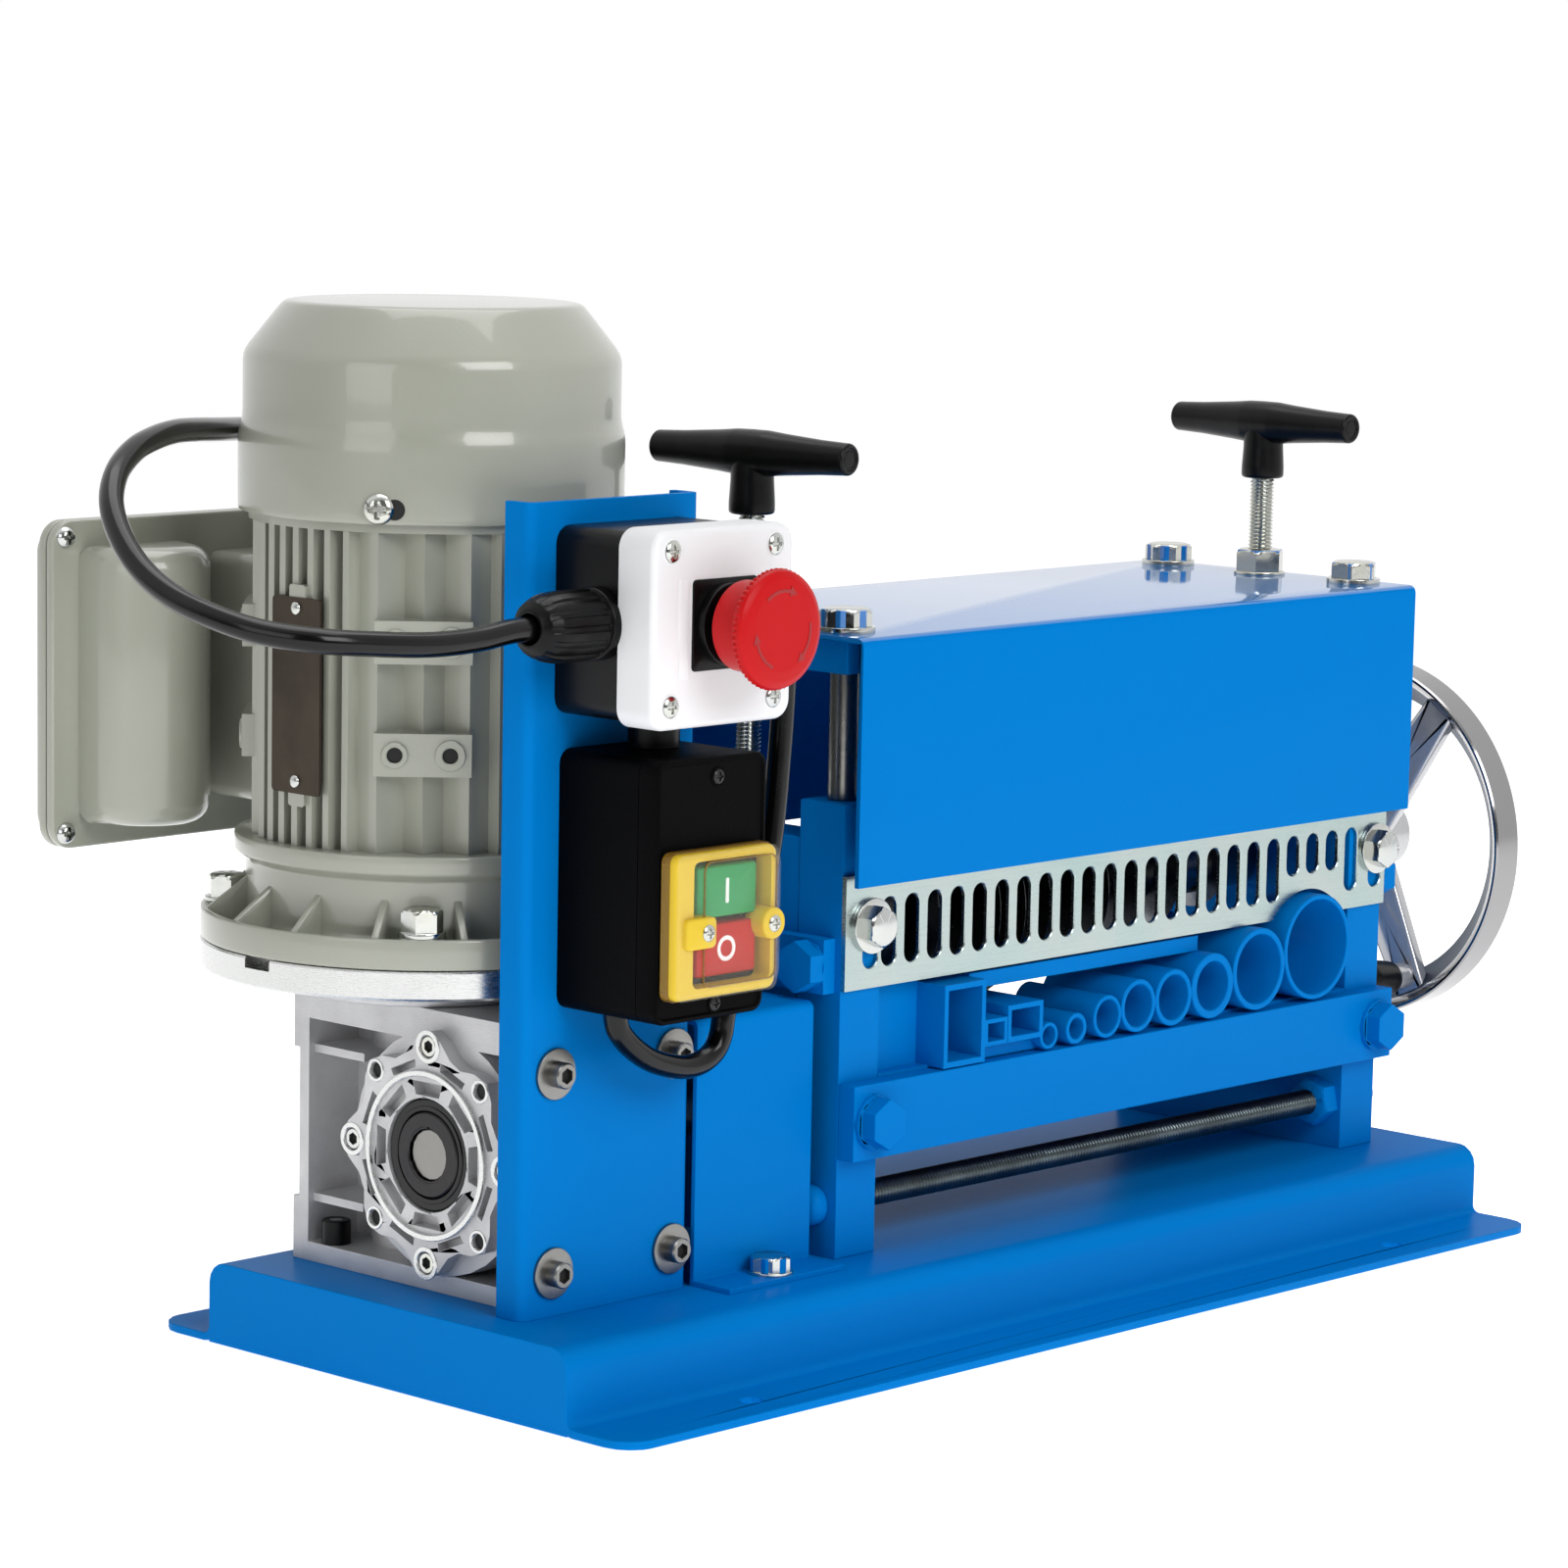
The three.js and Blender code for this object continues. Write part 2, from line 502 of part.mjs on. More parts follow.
// Motor frame: finned on four sides, with a lobed pad and two pairs of lugs on each corner.
function motorFrame() {
  const m = motor;
  const outline = (width, reach, inner) => rect(inner, -width / 2, reach, width / 2);
  const bar = (points, low, high, turnBy) => {
    const geometry = new THREE.ExtrudeGeometry(new THREE.Shape(points), { depth: high - low, bevelEnabled: false });
    geometry.rotateZ(turnBy);
    geometry.translate(gearbox.x, wormY, low);
    return solid(geometry);
  };
  const centre = [gearbox.x, wormY];
  const parts = [
    rod('z', centre, m.coreRadius, bellTop, skirtBottom, roundSides),
    rod('z', centre, fanCover.upperRadius - fanCover.sheet, skirtBottom - m.finWidth, skirtBottom + fanCover.lap, fineSides),
  ];
  for (let side = 0; side < 4; side += 1) {
    const facing = side * Math.PI / 2;
    for (let k = -m.finsEachWay; k <= m.finsEachWay; k += 1) {
      const offset = k * m.finPitch;
      const reach = Math.sqrt(m.finRadius ** 2 - offset ** 2);
      const fin = rect(m.coreRadius / 2, offset - m.finWidth / 2, reach, offset + m.finWidth / 2);
      parts.push(bar(fin, bellTop, skirtBottom - m.finWidth, facing));
    }
    const corner = facing + Math.PI / 4;
    const half = m.padWidth / 2;
    const groove = m.padGroove;
    const pad = [
      [m.coreRadius / 2, -half], [m.padReach - groove, -half], [m.padReach, -half + groove],
      [m.padReach - groove, -groove], [m.padReach, 0], [m.padReach - groove, groove],
      [m.padReach, half - groove], [m.padReach - groove, half], [m.coreRadius / 2, half],
    ].map(([x, y]) => new THREE.Vector2(x, y));
    parts.push(bar(pad, bellTop, skirtBottom - m.finWidth, corner));
    [m.lowLug, m.highLug].forEach((rise) => {
      parts.push(bar(outline(m.lugWidth, m.lugReach, m.coreRadius), bellTop + rise - m.lugHeight / 2,
        bellTop + rise + m.lugHeight / 2, corner));
    });
  }
  return join(parts);
}
piece('motor_frame', motorFrame(), motorPaint);

// Fan cover: a pressed cap with a stepped skirt and a sloping shoulder, open below.
function fanCoverBody() {
  const f = fanCover;
  const z = skirtBottom;
  const stepLow = z + f.skirt;
  const stepHigh = stepLow + f.step;
  const shoulder = stepHigh + f.shoulder;
  const top = shoulder + f.cone;
  return turn('z', [gearbox.x, wormY], [
    [f.upperRadius - f.sheet, z], [f.radius, z], [f.radius, stepLow], [f.upperRadius, stepHigh],
    [f.upperRadius, shoulder], [f.topRadius, top], [f.topRadius - f.crown, top + f.crown], [0, top + f.crown],
    [0, top + f.crown - f.sheet], [f.topRadius - f.crown, top + f.crown - f.sheet],
    [f.upperRadius - f.sheet, shoulder - f.sheet], [f.upperRadius - f.sheet, z],
  ], fineSides);
}
piece('fan_cover', fanCoverBody(), motorPaint);

function coolingFan() {
  const centre = [gearbox.x, wormY];
  const low = skirtBottom + fanCover.lap + fan.lift;
  const hub = rod('z', centre, fan.hub, low, low + fan.bladeHeight);
  const disc = rod('z', centre, fan.reach, low, low + fan.disc, roundSides);
  const stub = rod('z', centre, fan.shaft, skirtBottom + fanCover.lap + gap, low + fan.disc);
  const vanes = Array.from({ length: fan.bladeCount }, (_, i) => {
    const geometry = new THREE.BoxGeometry(fan.reach - fan.hub + over, fan.bladeWidth, fan.bladeHeight);
    geometry.translate((fan.reach + fan.hub - over) / 2, 0, low + fan.bladeHeight / 2);
    geometry.rotateZ(i / fan.bladeCount * Math.PI * 2);
    geometry.translate(...centre, 0);
    return solid(geometry);
  });
  return join([hub, disc, stub, ...vanes]);
}
piece('cooling_fan', coolingFan(), blackPlastic);

// Terminal box behind the motor, with a rounded bulge for a capacitor on each side of its neck.
const boxMidZ = bellTop + motor.frameHeight / 2 - terminalBox.centreDrop;
function terminalBoxBody() {
  const t = terminalBox;
  const [left, right] = [gearbox.x - t.width / 2, gearbox.x + t.width / 2];
  const [low, high] = [boxMidZ - t.height / 2, boxMidZ + t.height / 2];
  const rim = extrude('y', t.plane, t.plane + t.rim, roundedRect(left, low, right, high, t.corner));
  const bulge = (inner) => {
    const x = inner + t.bulgeRadius;
    const front = t.plane - t.bulgeOut + t.bulgeRadius;
    const plan = [
      new THREE.Vector2(x + t.bulgeRadius, t.plane + weld), new THREE.Vector2(x - t.bulgeRadius, t.plane + weld),
      ...arc(x, front, t.bulgeRadius, 180, 360, arcSteps * 2),
    ];
    return extrude('z', low + t.bulgeMargin, high - t.bulgeMargin, plan);
  };
  const neck = box([gearbox.x - t.neckWidth / 2, wormY + motor.finRadius + gap, low + t.neckMargin],
    [gearbox.x + t.neckWidth / 2, t.plane + weld, high - t.neckMargin]);
  const x = gearbox.x + t.glandOffset;
  const y = t.plane - t.glandSetBack;
  const glandTop = high - t.neckMargin + t.glandLength;
  const stub = rod('z', [x, y], t.gland, high - t.neckMargin - weld, glandTop, tinySides);
  const hole = rod('z', [x, y], t.glandHole, high - t.neckMargin + gap, glandTop + over, tinySides);
  const side = [gearbox.x + t.sideGlandOffset, high - t.sideGlandDrop];
  const sideFront = t.plane - t.sideGlandFront;
  const sideStub = rod('y', side, t.gland, sideFront, t.plane - t.bulgeRadius / 2, tinySides);
  const sideHole = rod('y', side, t.glandHole, sideFront - over, t.plane - t.sideGlandFloor, tinySides);
  return cut(join([rim, bulge(left + t.bulgeInset), bulge(right - t.bulgeInset - 2 * t.bulgeRadius), neck, stub, sideStub]),
    [hole, sideHole]);
}
piece('terminal_box', terminalBoxBody(), motorPaint);

function terminalLid() {
  const t = terminalBox;
  const [left, right] = [gearbox.x - t.width / 2, gearbox.x + t.width / 2];
  const [low, high] = [boxMidZ - t.height / 2, boxMidZ + t.height / 2];
  const start = t.plane + t.rim;
  const edge = extrude('y', start, start + t.rim, roundedRect(left, low, right, high, t.corner));
  const crown = extrude('y', start, start + t.lid, roundedRect(left + t.lidStep, low + t.lidStep,
    right - t.lidStep, high - t.lidStep, t.corner));
  return join([edge, crown]);
}
piece('terminal_lid', terminalLid(), motorPaint);

// Side frames: thick plates with a slot for the sliding bearing block and a bore for the lower shaft.
function sideFrame(x) {
  const [front, rear] = [frameFront, frameRear];
  const [slotFront, slotRear] = [front + frame.post, rear - frame.post];
  const outline = [
    [front, deck], [rear, deck], [rear, frame.top], [slotRear, frame.top], [slotRear, frame.slotFloor],
    [slotFront, frame.slotFloor], [slotFront, frame.top], [front, frame.top],
  ].map(([y, z]) => new THREE.Vector2(y, z));
  const bores = [
    circle(midY, driveZ, shafts.radius + gap, smallSides),
    circle(postFront, deck + tieRod.height, tieRod.radius + gap, tinySides),
  ];
  const plate = extrude('x', x, x + frame.thick, outline, bores);
  const bolts = [postFront, postRear].map((y) => rod('z', [x + frame.thick / 2, y], frame.boltRadius + gap,
    frame.top - frame.boltDepth, frame.top + over, tinySides));
  return cut(plate, bolts);
}
piece('left_side_frame', sideFrame(frame.left), blue);
piece('right_side_frame', sideFrame(rightPlate), blue);

function hexBolt(axis, centre, face, side, flats, head, washerRadius, washer, sink = weld) {
  const ends = (a, b) => [Math.min(a, b), Math.max(a, b)];
  const seat = face + side * washer;
  return join([
    rod(axis, centre, washerRadius, ...ends(face - side * sink, seat), boltSides),
    hexagon(axis, centre, flats, ...ends(seat - side * weld, seat + side * head)),
  ]);
}

function frontBar() {
  const b = lowerBar;
  const bar = box([frame.left, frameFront - b.thick, b.bottom], [frameRight, frameFront, b.bottom + b.height]);
  const bolts = [screwLeft, screwRight].map((x) => hexBolt('y', [x, b.bottom + b.boltHeight],
    frameFront - b.thick, -1, frame.boltFlats, frame.boltHead, frame.washerRadius, frame.washer));
  return join([bar, ...bolts]);
}
piece('front_bar', frontBar(), blue);

function tieRodBody() {
  const t = tieRod;
  const centre = [postFront, deck + t.height];
  const round = t.domeRadius - t.radius;
  const dome = (face, side) => turn('x', centre, [
    [0, face], [t.domeRadius, face], [t.domeRadius, face + side * (t.dome - round)],
    [t.radius, face + side * t.dome], [0, face + side * t.dome],
  ], tinySides);
  return join([
    rod('x', centre, t.radius, frame.left - weld, frameRight + weld, tinySides),
    dome(frame.left, -1), dome(frameRight, 1),
    hexagon('x', centre, t.nutFlats, rightPlate - t.nut, rightPlate),
  ]);
}
piece('tie_rod', tieRodBody(), darkSteel);

// Top bars: each carries the pressure screw and is held by two long bolts down into the posts.
function topBarBody(x) {
  const middle = x + frame.thick / 2;
  const bar = box([x, frameFront, topBar.bottom], [x + frame.thick, frameRear, topBar.bottom + topBar.thick]);
  const bolts = [postFront, postRear].map((y) => join([
    rod('z', [middle, y], frame.boltRadius, frame.top - frame.boltDepth + gap, hood.top + weld, tinySides),
    hexBolt('z', [middle, y], hood.top, 1, frame.boltFlats, frame.boltHead, frame.washerRadius, frame.washer, 0),
  ]));
  const nut = join([
    rod('z', [middle, midY], screw.nutNeck, topBar.bottom, hood.top + weld, smallSides),
    hexagon('z', [middle, midY], screw.nutFlats, hood.top, hood.top + screw.nut),
  ]);
  const bore = rod('z', [middle, midY], screw.radius + gap, topBar.bottom - over,
    hood.top + screw.nut + over, smallSides);
  return cut(join([bar, ...bolts, nut]), [bore]);
}
piece('left_top_bar', topBarBody(frame.left), blue);
piece('right_top_bar', topBarBody(rightPlate), blue);

// Hood: bent sheet over the blades, open at both ends and below.
function hoodBody() {
  const h = hood;
  const rear = base.width - h.front;
  const outer = [
    new THREE.Vector2(h.front, h.bottom), new THREE.Vector2(rear, h.bottom),
    ...arc(rear - h.bend, h.top - h.bend, h.bend, 0, 90), ...arc(h.front + h.bend, h.top - h.bend, h.bend, 90, 180),
  ];
  const shell = extrude('x', h.left, h.right, outer);
  const hollow = box([h.left - over, h.front + h.sheet, h.bottom - over], [h.right + over, rear - h.sheet, h.top - h.sheet]);
  const holes = [screwLeft, screwRight].flatMap((x) => [
    ...[postFront, postRear].map((y) => rod('z', [x, y], frame.boltRadius + gap, h.top - 2 * h.sheet, h.top + over, tinySides)),
    rod('z', [x, midY], screw.nutNeck + gap, h.top - 2 * h.sheet, h.top + over, smallSides),
  ]);
  return cut(shell, [hollow, ...holes]);
}
piece('hood', hoodBody(), blue);

// Slotted strip in front of the blades, with an arch over the largest guide tube.
const largeRadius = largeRounds[largeRounds.length - 1].diameter / 2;
const largeX = frame.left + guides.largeCentre;
function slottedStrip() {
  const s = strip;
  const [left, right] = [frame.left, frameRight];
  const top = s.bottom + s.height;
  const archRadius = largeRadius + s.archClear;
  const archCentre = s.bottom + s.archRise - archRadius;
  const half = Math.acos((s.bottom - archCentre) / archRadius) * 180 / Math.PI;
  const outline = [
    new THREE.Vector2(left, s.bottom),
    ...arc(largeX, archCentre, archRadius, 90 + half, 90 - half, arcSteps * 2),
    new THREE.Vector2(right, s.bottom), new THREE.Vector2(right, top), new THREE.Vector2(left, top),
  ];
  const slots = Array.from({ length: s.slotCount }, (_, i) => {
    const short = i >= s.slotCount - s.shortSlots ? 1 : 0;
    const x = left + s.firstSlot + i * s.slotPitch;
    return obround(x, s.bottom + s.slotBottom + short * s.shortRise, s.bottom + s.slotTop, s.slotWidth);
  });
  slots.splice(s.slotCount, 0, obround(left + s.longSlot, s.bottom + s.slotBottom, s.bottom + s.slotTop, s.slotWidth));
  const ends = [left + s.endInset, right - s.endInset / 2];
  ends.forEach((x) => slots.push(obround(x, s.bottom + s.slotBottom, s.bottom + s.slotTop, s.slotWidth)));
  const plate = extrude('y', frameFront - s.thick, frameFront, outline, slots);
  const bolts = ends.map((x) => hexBolt('y', [x, s.bottom + s.boltRise], frameFront - s.thick, -1,
    s.boltFlats, s.boltHead, s.washerRadius, s.washer));
  return join([plate, ...bolts]);
}
piece('slotted_strip', slottedStrip(), zinc);

// Keepers on the outer faces of the posts hold the sliding blocks in their slots.
function keeperBody(outerFace, side, front, rear, boltPlaces) {
  const inner = outerFace;
  const outer = outerFace + side * keeper.thick;
  const bar = box([Math.min(inner, outer), front, keeper.bottom],
    [Math.max(inner, outer), rear, keeper.bottom + keeper.height]);
  const bolts = boltPlaces.map((y) => hexBolt('x', [y, keeper.bottom + keeper.height / 2], outer, side,
    frame.boltFlats, frame.boltHead, keeper.height / 2 - over, over));
  return join([bar, ...bolts]);
}
const keeperFront = frameFront + keeper.inset;
const keeperRear = frameRear - keeper.inset;
piece('left_keeper', keeperBody(frame.left, -1, keeperFront, keeperRear, [postFront, postRear]), blue);
piece('right_front_keeper', keeperBody(frameRight, 1, keeperFront, frameFront + frame.post + keeper.lap, [postFront]), blue);
piece('right_rear_keeper', keeperBody(frameRight, 1, frameRear - frame.post - keeper.lap, keeperRear, [postRear]), blue);

// Sliding bearing blocks, each with a T slot that takes the collar of its pressure screw.
function bearingBlock(x, inward) {
  const b = block;
  const [low, high] = [x + gap, x + frame.thick - gap];
  const middle = x + frame.thick / 2;
  const body = box([low, frameFront + frame.post + gap, frame.slotFloor + b.floorGap],
    [high, frameRear - frame.post - gap, b.top]);
  const slotTop = b.top - b.roof;
  const openFrom = inward > 0 ? middle - b.slotWidth : low - over;
  const openTo = inward > 0 ? high + over : middle + b.slotWidth;
  const neckFrom = inward > 0 ? middle - b.neckWidth : low - over;
  const neckTo = inward > 0 ? high + over : middle + b.neckWidth;
  return cut(body, [
    rod('x', [midY, bladeZ], shafts.radius + gap, low - over, high + over, smallSides),
    box([openFrom, midY - b.slotWidth, slotTop - b.slotHeight], [openTo, midY + b.slotWidth, slotTop]),
    box([neckFrom, midY - b.neckWidth, slotTop - over], [neckTo, midY + b.neckWidth, b.top + over]),
  ]);
}
piece('left_bearing_block', bearingBlock(frame.left, 1), blue);
piece('right_bearing_block', bearingBlock(rightPlate, -1), blue);

// Lower shaft, from the gearbox sleeve to the right frame.
function lowerShaft() {
  const s = shafts;
  const sleeveEnd = gearbox.x + hollowShaft.halfLength + gap;
  const plain = turn('x', [midY, driveZ], [
    [0, s.driveStart], [s.driveEnd, s.driveStart], [s.driveEnd, sleeveEnd], [s.radius, sleeveEnd],
    [s.radius, frameRight + s.lowerTail], [0, frameRight + s.lowerTail],
  ], smallSides);
  const key = box([s.driveStart + over, midY, driveZ - s.keyHalf], [sleeveEnd, midY + s.keyReach, driveZ + s.keyHalf]);
  return join([plain, key]);
}
piece('lower_shaft', lowerShaft(), steel);

function bladeShaft() {
  const s = shafts;
  return turn('x', [midY, bladeZ], [
    [0, frame.left + gap], [s.radius, frame.left + gap], [s.radius, s.shoulder], [s.outerEnd, s.shoulder],
    [s.outerEnd, wheel.hubStart + wheel.hubLength], [0, wheel.hubStart + wheel.hubLength],
  ], smallSides);
}
piece('blade_shaft', bladeShaft(), steel);

// Gear pair between the shafts; the upper gear stands half a tooth round, so the two mesh.
function gearWheel(z, phase) {
  const g = gear;
  const pitchRadius = g.module * g.teeth / 2;
  const pitch = 360 / g.teeth;
  const at = (radius, angle) => arc(midY, z, radius, angle, angle, 1)[0];
  const outline = Array.from({ length: g.teeth }, (_, i) => i * pitch + phase).flatMap((middle) => [
    at(pitchRadius - g.module * g.rootDepthShare, middle - pitch * g.rootShare / 2),
    at(pitchRadius + g.module, middle - pitch * g.tipShare / 2),
    at(pitchRadius + g.module, middle + pitch * g.tipShare / 2),
    at(pitchRadius - g.module * g.rootDepthShare, middle + pitch * g.rootShare / 2),
  ]);
  const start = leftInner + g.inset;
  return extrude('x', start, start + g.width, outline, [circle(midY, z, shafts.radius + gap, smallSides)]);
}
const toothPitch = 360 / gear.teeth;
piece('lower_gear', gearWheel(driveZ, 90), steel);
piece('upper_gear', gearWheel(bladeZ, 270 + toothPitch / 2), steel);

// Channels along the shelf: the two square ones, then the round tubes in order of size.
function tubeLayout() {
  const places = [];
  let x = guides.largeCentre;
  let radius = largeRadius;
  [...mediumRounds, ...largeRounds].reverse().forEach((tube, i) => {
    const own = tube.diameter / 2;
    if (i > 0) x -= 2 * Math.sqrt(own * radius);
    radius = own;
    places.unshift({ ...tube, x: frame.left + x });
  });
  return places;
}
const roundTubes = tubeLayout();
const thinTubes = smallRounds.map((tube, i) => (
  { ...tube, x: frame.left + [guides.firstRound, guides.secondRound][i] }
));
const channels = [
  { x: frame.left + squareTube.offset + squareTube.width / 2, reach: spacer.height + squareTube.height },
  { x: frame.left + flatTube.offset + flatTube.width / 2, reach: spacer.height + flatTube.height },
  ...[...thinTubes, ...roundTubes].map((tube) => ({ x: tube.x, reach: tube.diameter })),
];

// Feed roller on the lower shaft.
function feedRoller() {
  const r = roller;
  return pipe('x', [midY, driveZ], r.radius, shafts.radius + gap, r.start, r.end, roundSides);
}
piece('feed_roller', feedRoller(), darkSteel);

function gripRollerBody() {
  const r = gripRoller;
  return turn('x', [midY, bladeZ], [
    [shafts.radius + gap, r.start], [r.radius - r.rim, r.start], [r.radius, r.start + r.rim],
    [r.radius, r.end - r.rim], [r.radius - r.rim, r.end], [shafts.radius + gap, r.end],
    [shafts.radius + gap, r.start],
  ], roundSides);
}
piece('grip_roller', gripRollerBody(), darkSteel);

// Blades: one bevelled disc over each channel, each sized to its guide tube, with sleeves between.
function bladeSet() {
  const b = blades;
  const bore = shafts.radius + gap;
  const profile = [[bore, b.start], [b.sleeve, b.start]];
  channels.forEach((channel) => {
    const radius = bladeZ - (shelfTop + channel.reach * b.cutShare);
    profile.push([b.sleeve, channel.x - b.halfWidth], [radius, channel.x], [b.sleeve, channel.x + b.halfWidth]);
  });
  profile.push([b.sleeve, b.end], [bore, b.end], [bore, b.start]);
  return turn('x', [midY, bladeZ], profile, smallSides);
}
piece('blade_set', bladeSet(), steel);

// Guide tubes.
function roundTube({ x, diameter, wall }) {
  const centre = [x, shelfTop + diameter / 2];
  return { outer: tubeSolid(centre, diameter / 2), inner: tubeSolid(centre, diameter / 2 - wall, over) };
}

// A weld bead along the foot of a tube, and one where two neighbouring tubes touch.
function footBead({ x, wall }, bottom) {
  return box([x - wall, guides.front + wall, bottom], [x + wall, guides.front + guides.length - wall, shelfTop + wall]);
}

function sideBeads(tubes) {
  return tubes.slice(1).map((tube, i) => {
    const [a, b] = [tubes[i].diameter / 2, tube.diameter / 2];
    const share = a / (a + b);
    const x = tubes[i].x + (tube.x - tubes[i].x) * share;
    const z = shelfTop + a + (b - a) * share;
    const half = tube.wall / 2;
    return box([x - half, guides.front + half, z - half], [x + half, guides.front + guides.length - half, z + half]);
  });
}

function tubeSolid(centre, radius, extra = 0) {
  return rod('y', centre, radius, guides.front - extra, guides.front + guides.length + extra, smallSides);
}

function squareTubeParts({ offset, width, height, wall }, bottom) {
  const left = frame.left + offset;
  const rear = guides.front + guides.length;
  return {
    outer: box([left, guides.front, bottom], [left + width, rear, bottom + height]),
    inner: box([left + wall, guides.front - over, bottom + wall],
      [left + width - wall, rear + over, bottom + height - wall]),
  };
}

function weldment(tubes, extras = []) {
  const outside = join([...tubes.map((tube) => tube.outer), ...extras]);
  return cut(outside, tubes.map((tube) => tube.inner));
}

function guideShelf() {
  const bottom = shelfTop - guides.shelf;
  const shelf = box([leftInner + gap, frameFront, bottom], [rightPlate - gap, frameFront + guides.shelfDepth, shelfTop]);
  const tallLeft = frame.left + tallTube.offset;
  const tallTop = shelfTop + tallTube.height;
  const rest = box([frame.left + spacer.offset - weld, guides.front + spacer.setBack, shelfTop - weld],
    [frame.left + spacer.offset + spacer.width, guides.front + spacer.setBack + spacer.depth, shelfTop + spacer.height]);
  const plate = box([leftInner + gap, guides.front + filler.setBack, shelfTop - weld],
    [tallLeft + weld, guides.front + filler.setBack + filler.thick, tallTop]);
  const carrierTube = roundTubes[mediumRounds.length];
  const carrierBottom = shelfTop + carrierTube.diameter;
  const bar = box([tallLeft + tallTube.width - weld, guides.front + carrier.setBack, carrierBottom],
    [carrierTube.x, guides.front + carrier.setBack + carrier.width, carrierBottom + carrier.thick]);
  const lifted = shelfTop + spacer.height - weld;
  return weldment([
    squareTubeParts(tallTube, shelfTop - weld), squareTubeParts(squareTube, lifted),
    squareTubeParts(flatTube, lifted), ...thinTubes.map(roundTube),
  ], [shelf, rest, plate, bar, ...thinTubes.map((tube) => footBead(tube, shelfTop - weld))]);
}
piece('guide_shelf', guideShelf(), blue);

function tubeGroup(tubes) {
  return weldment(tubes.map(roundTube), [...tubes.map((tube) => footBead(tube, shelfTop)), ...sideBeads(tubes)]);
}
piece('medium_guide_tubes', tubeGroup(roundTubes.slice(0, mediumRounds.length)), blue);
piece('large_guide_tubes', tubeGroup(roundTubes.slice(mediumRounds.length)), blue);

// Pressure screws and their T handles, each pair in a group on the screw's own axis.
function pressureScrew() {
  const collarBottom = block.top - block.roof - screw.collarHeight - gap;
  return join([
    rod('z', [0, 0], screw.collar, collarBottom, collarBottom + screw.collarHeight, smallSides),
    rod('z', [0, 0], screw.radius, collarBottom, tee.hubBottom + tee.socket - gap, tinySides),
  ]);
}

function teeHandle() {
  const t = tee;
  const hub = rod('z', [0, 0], t.hubRadius, t.hubBottom, t.barHeight, smallSides);
  const bar = turn('y', [0, t.barHeight], [
    [0, -t.halfLength], [t.endRadius - t.endRound, -t.halfLength], [t.endRadius, -t.halfLength + t.endRound],
    [t.barRadius, -t.hubRadius], [t.barRadius, t.hubRadius], [t.endRadius, t.halfLength - t.endRound],
    [t.endRadius - t.endRound, t.halfLength], [0, t.halfLength],
  ], smallSides);
  const socket = rod('z', [0, 0], screw.radius + gap, t.hubBottom - over, t.hubBottom + t.socket, tinySides);
  return cut(join([hub, bar]), [socket]);
}

function pressureGroup(side, x, turnDegrees) {
  const group = new THREE.Group();
  group.position.set(x, midY, 0);
  group.rotation.z = THREE.MathUtils.degToRad(turnDegrees);
  piece(`${side}_pressure_screw`, pressureScrew(), zinc, group);
  piece(`${side}_tee_handle`, teeHandle(), blackPlastic, group);
  machine.add(group);
}
pressureGroup('left', screwLeft, tee.leftTurn);
pressureGroup('right', screwRight, 0);

// Handwheel on the blade shaft, in a group on the shaft's axis and turned as it stands.
const wheelGroup = new THREE.Group();
wheelGroup.position.set(0, midY, bladeZ);
wheelGroup.rotation.x = wheel.spokeShare * Math.PI * 2;
machine.add(wheelGroup);
function handwheel() {
  const w = wheel;
  const far = w.x + w.width;
  const rim = turn('x', [0, 0], [
    [w.radius, w.x], [w.radius, far], [w.innerFar, far], [w.innerNear, w.x + w.rimFace],
    [w.innerNear + w.rimFace, w.x], [w.radius, w.x],
  ], fineSides);
  const hub = rod('x', [0, 0], w.hub, w.hubStart, w.hubStart + w.hubLength, smallSides);
  const spokeX = w.x + w.spokeStart;
  const spoke = [
    new THREE.Vector2(0, -w.spokeHub), new THREE.Vector2(w.innerNear + over, -w.spokeRim),
    new THREE.Vector2(w.innerNear + over, w.spokeRim), new THREE.Vector2(0, w.spokeHub),
  ];
  const spokes = Array.from({ length: w.spokeCount }, (_, i) => {
    const shape = new THREE.Shape(spoke);
    const geometry = new THREE.ExtrudeGeometry(shape, { depth: w.spokeThick, bevelEnabled: false });
    geometry.applyMatrix4(extrudeBasis.x);
    geometry.rotateX(i / w.spokeCount * Math.PI * 2);
    geometry.translate(spokeX, 0, 0);
    return solid(geometry);
  });
  const pinEnd = w.x - w.ferruleLength - grip.length - w.ferruleLength;
  const pin = rod('x', [w.gripCircle, 0], w.pinRadius, pinEnd + gap, spokeX + weld, tinySides);
  const ferrule = rod('x', [w.gripCircle, 0], w.ferrule, w.x - w.ferruleLength, spokeX + weld, tinySides);
  const bore = rod('x', [0, 0], w.bore, w.hubStart - over, w.hubStart + w.hubLength + over, smallSides);
  return cut(join([rim, hub, ...spokes, pin, ferrule]), [bore]);
}
piece('handwheel', handwheel(), castAluminium, wheelGroup);

function wheelGrip() {
  const end = wheel.x - wheel.ferruleLength - gap;
  const start = end - grip.length;
  return turn('x', [wheel.gripCircle, 0], [
    [grip.bore, start], [grip.radius, start], [grip.bulge, (start + end) / 2], [grip.neck, end],
    [grip.bore, end], [grip.bore, start],
  ], smallSides);
}
piece('wheel_grip', wheelGrip(), blackPlastic, wheelGroup);

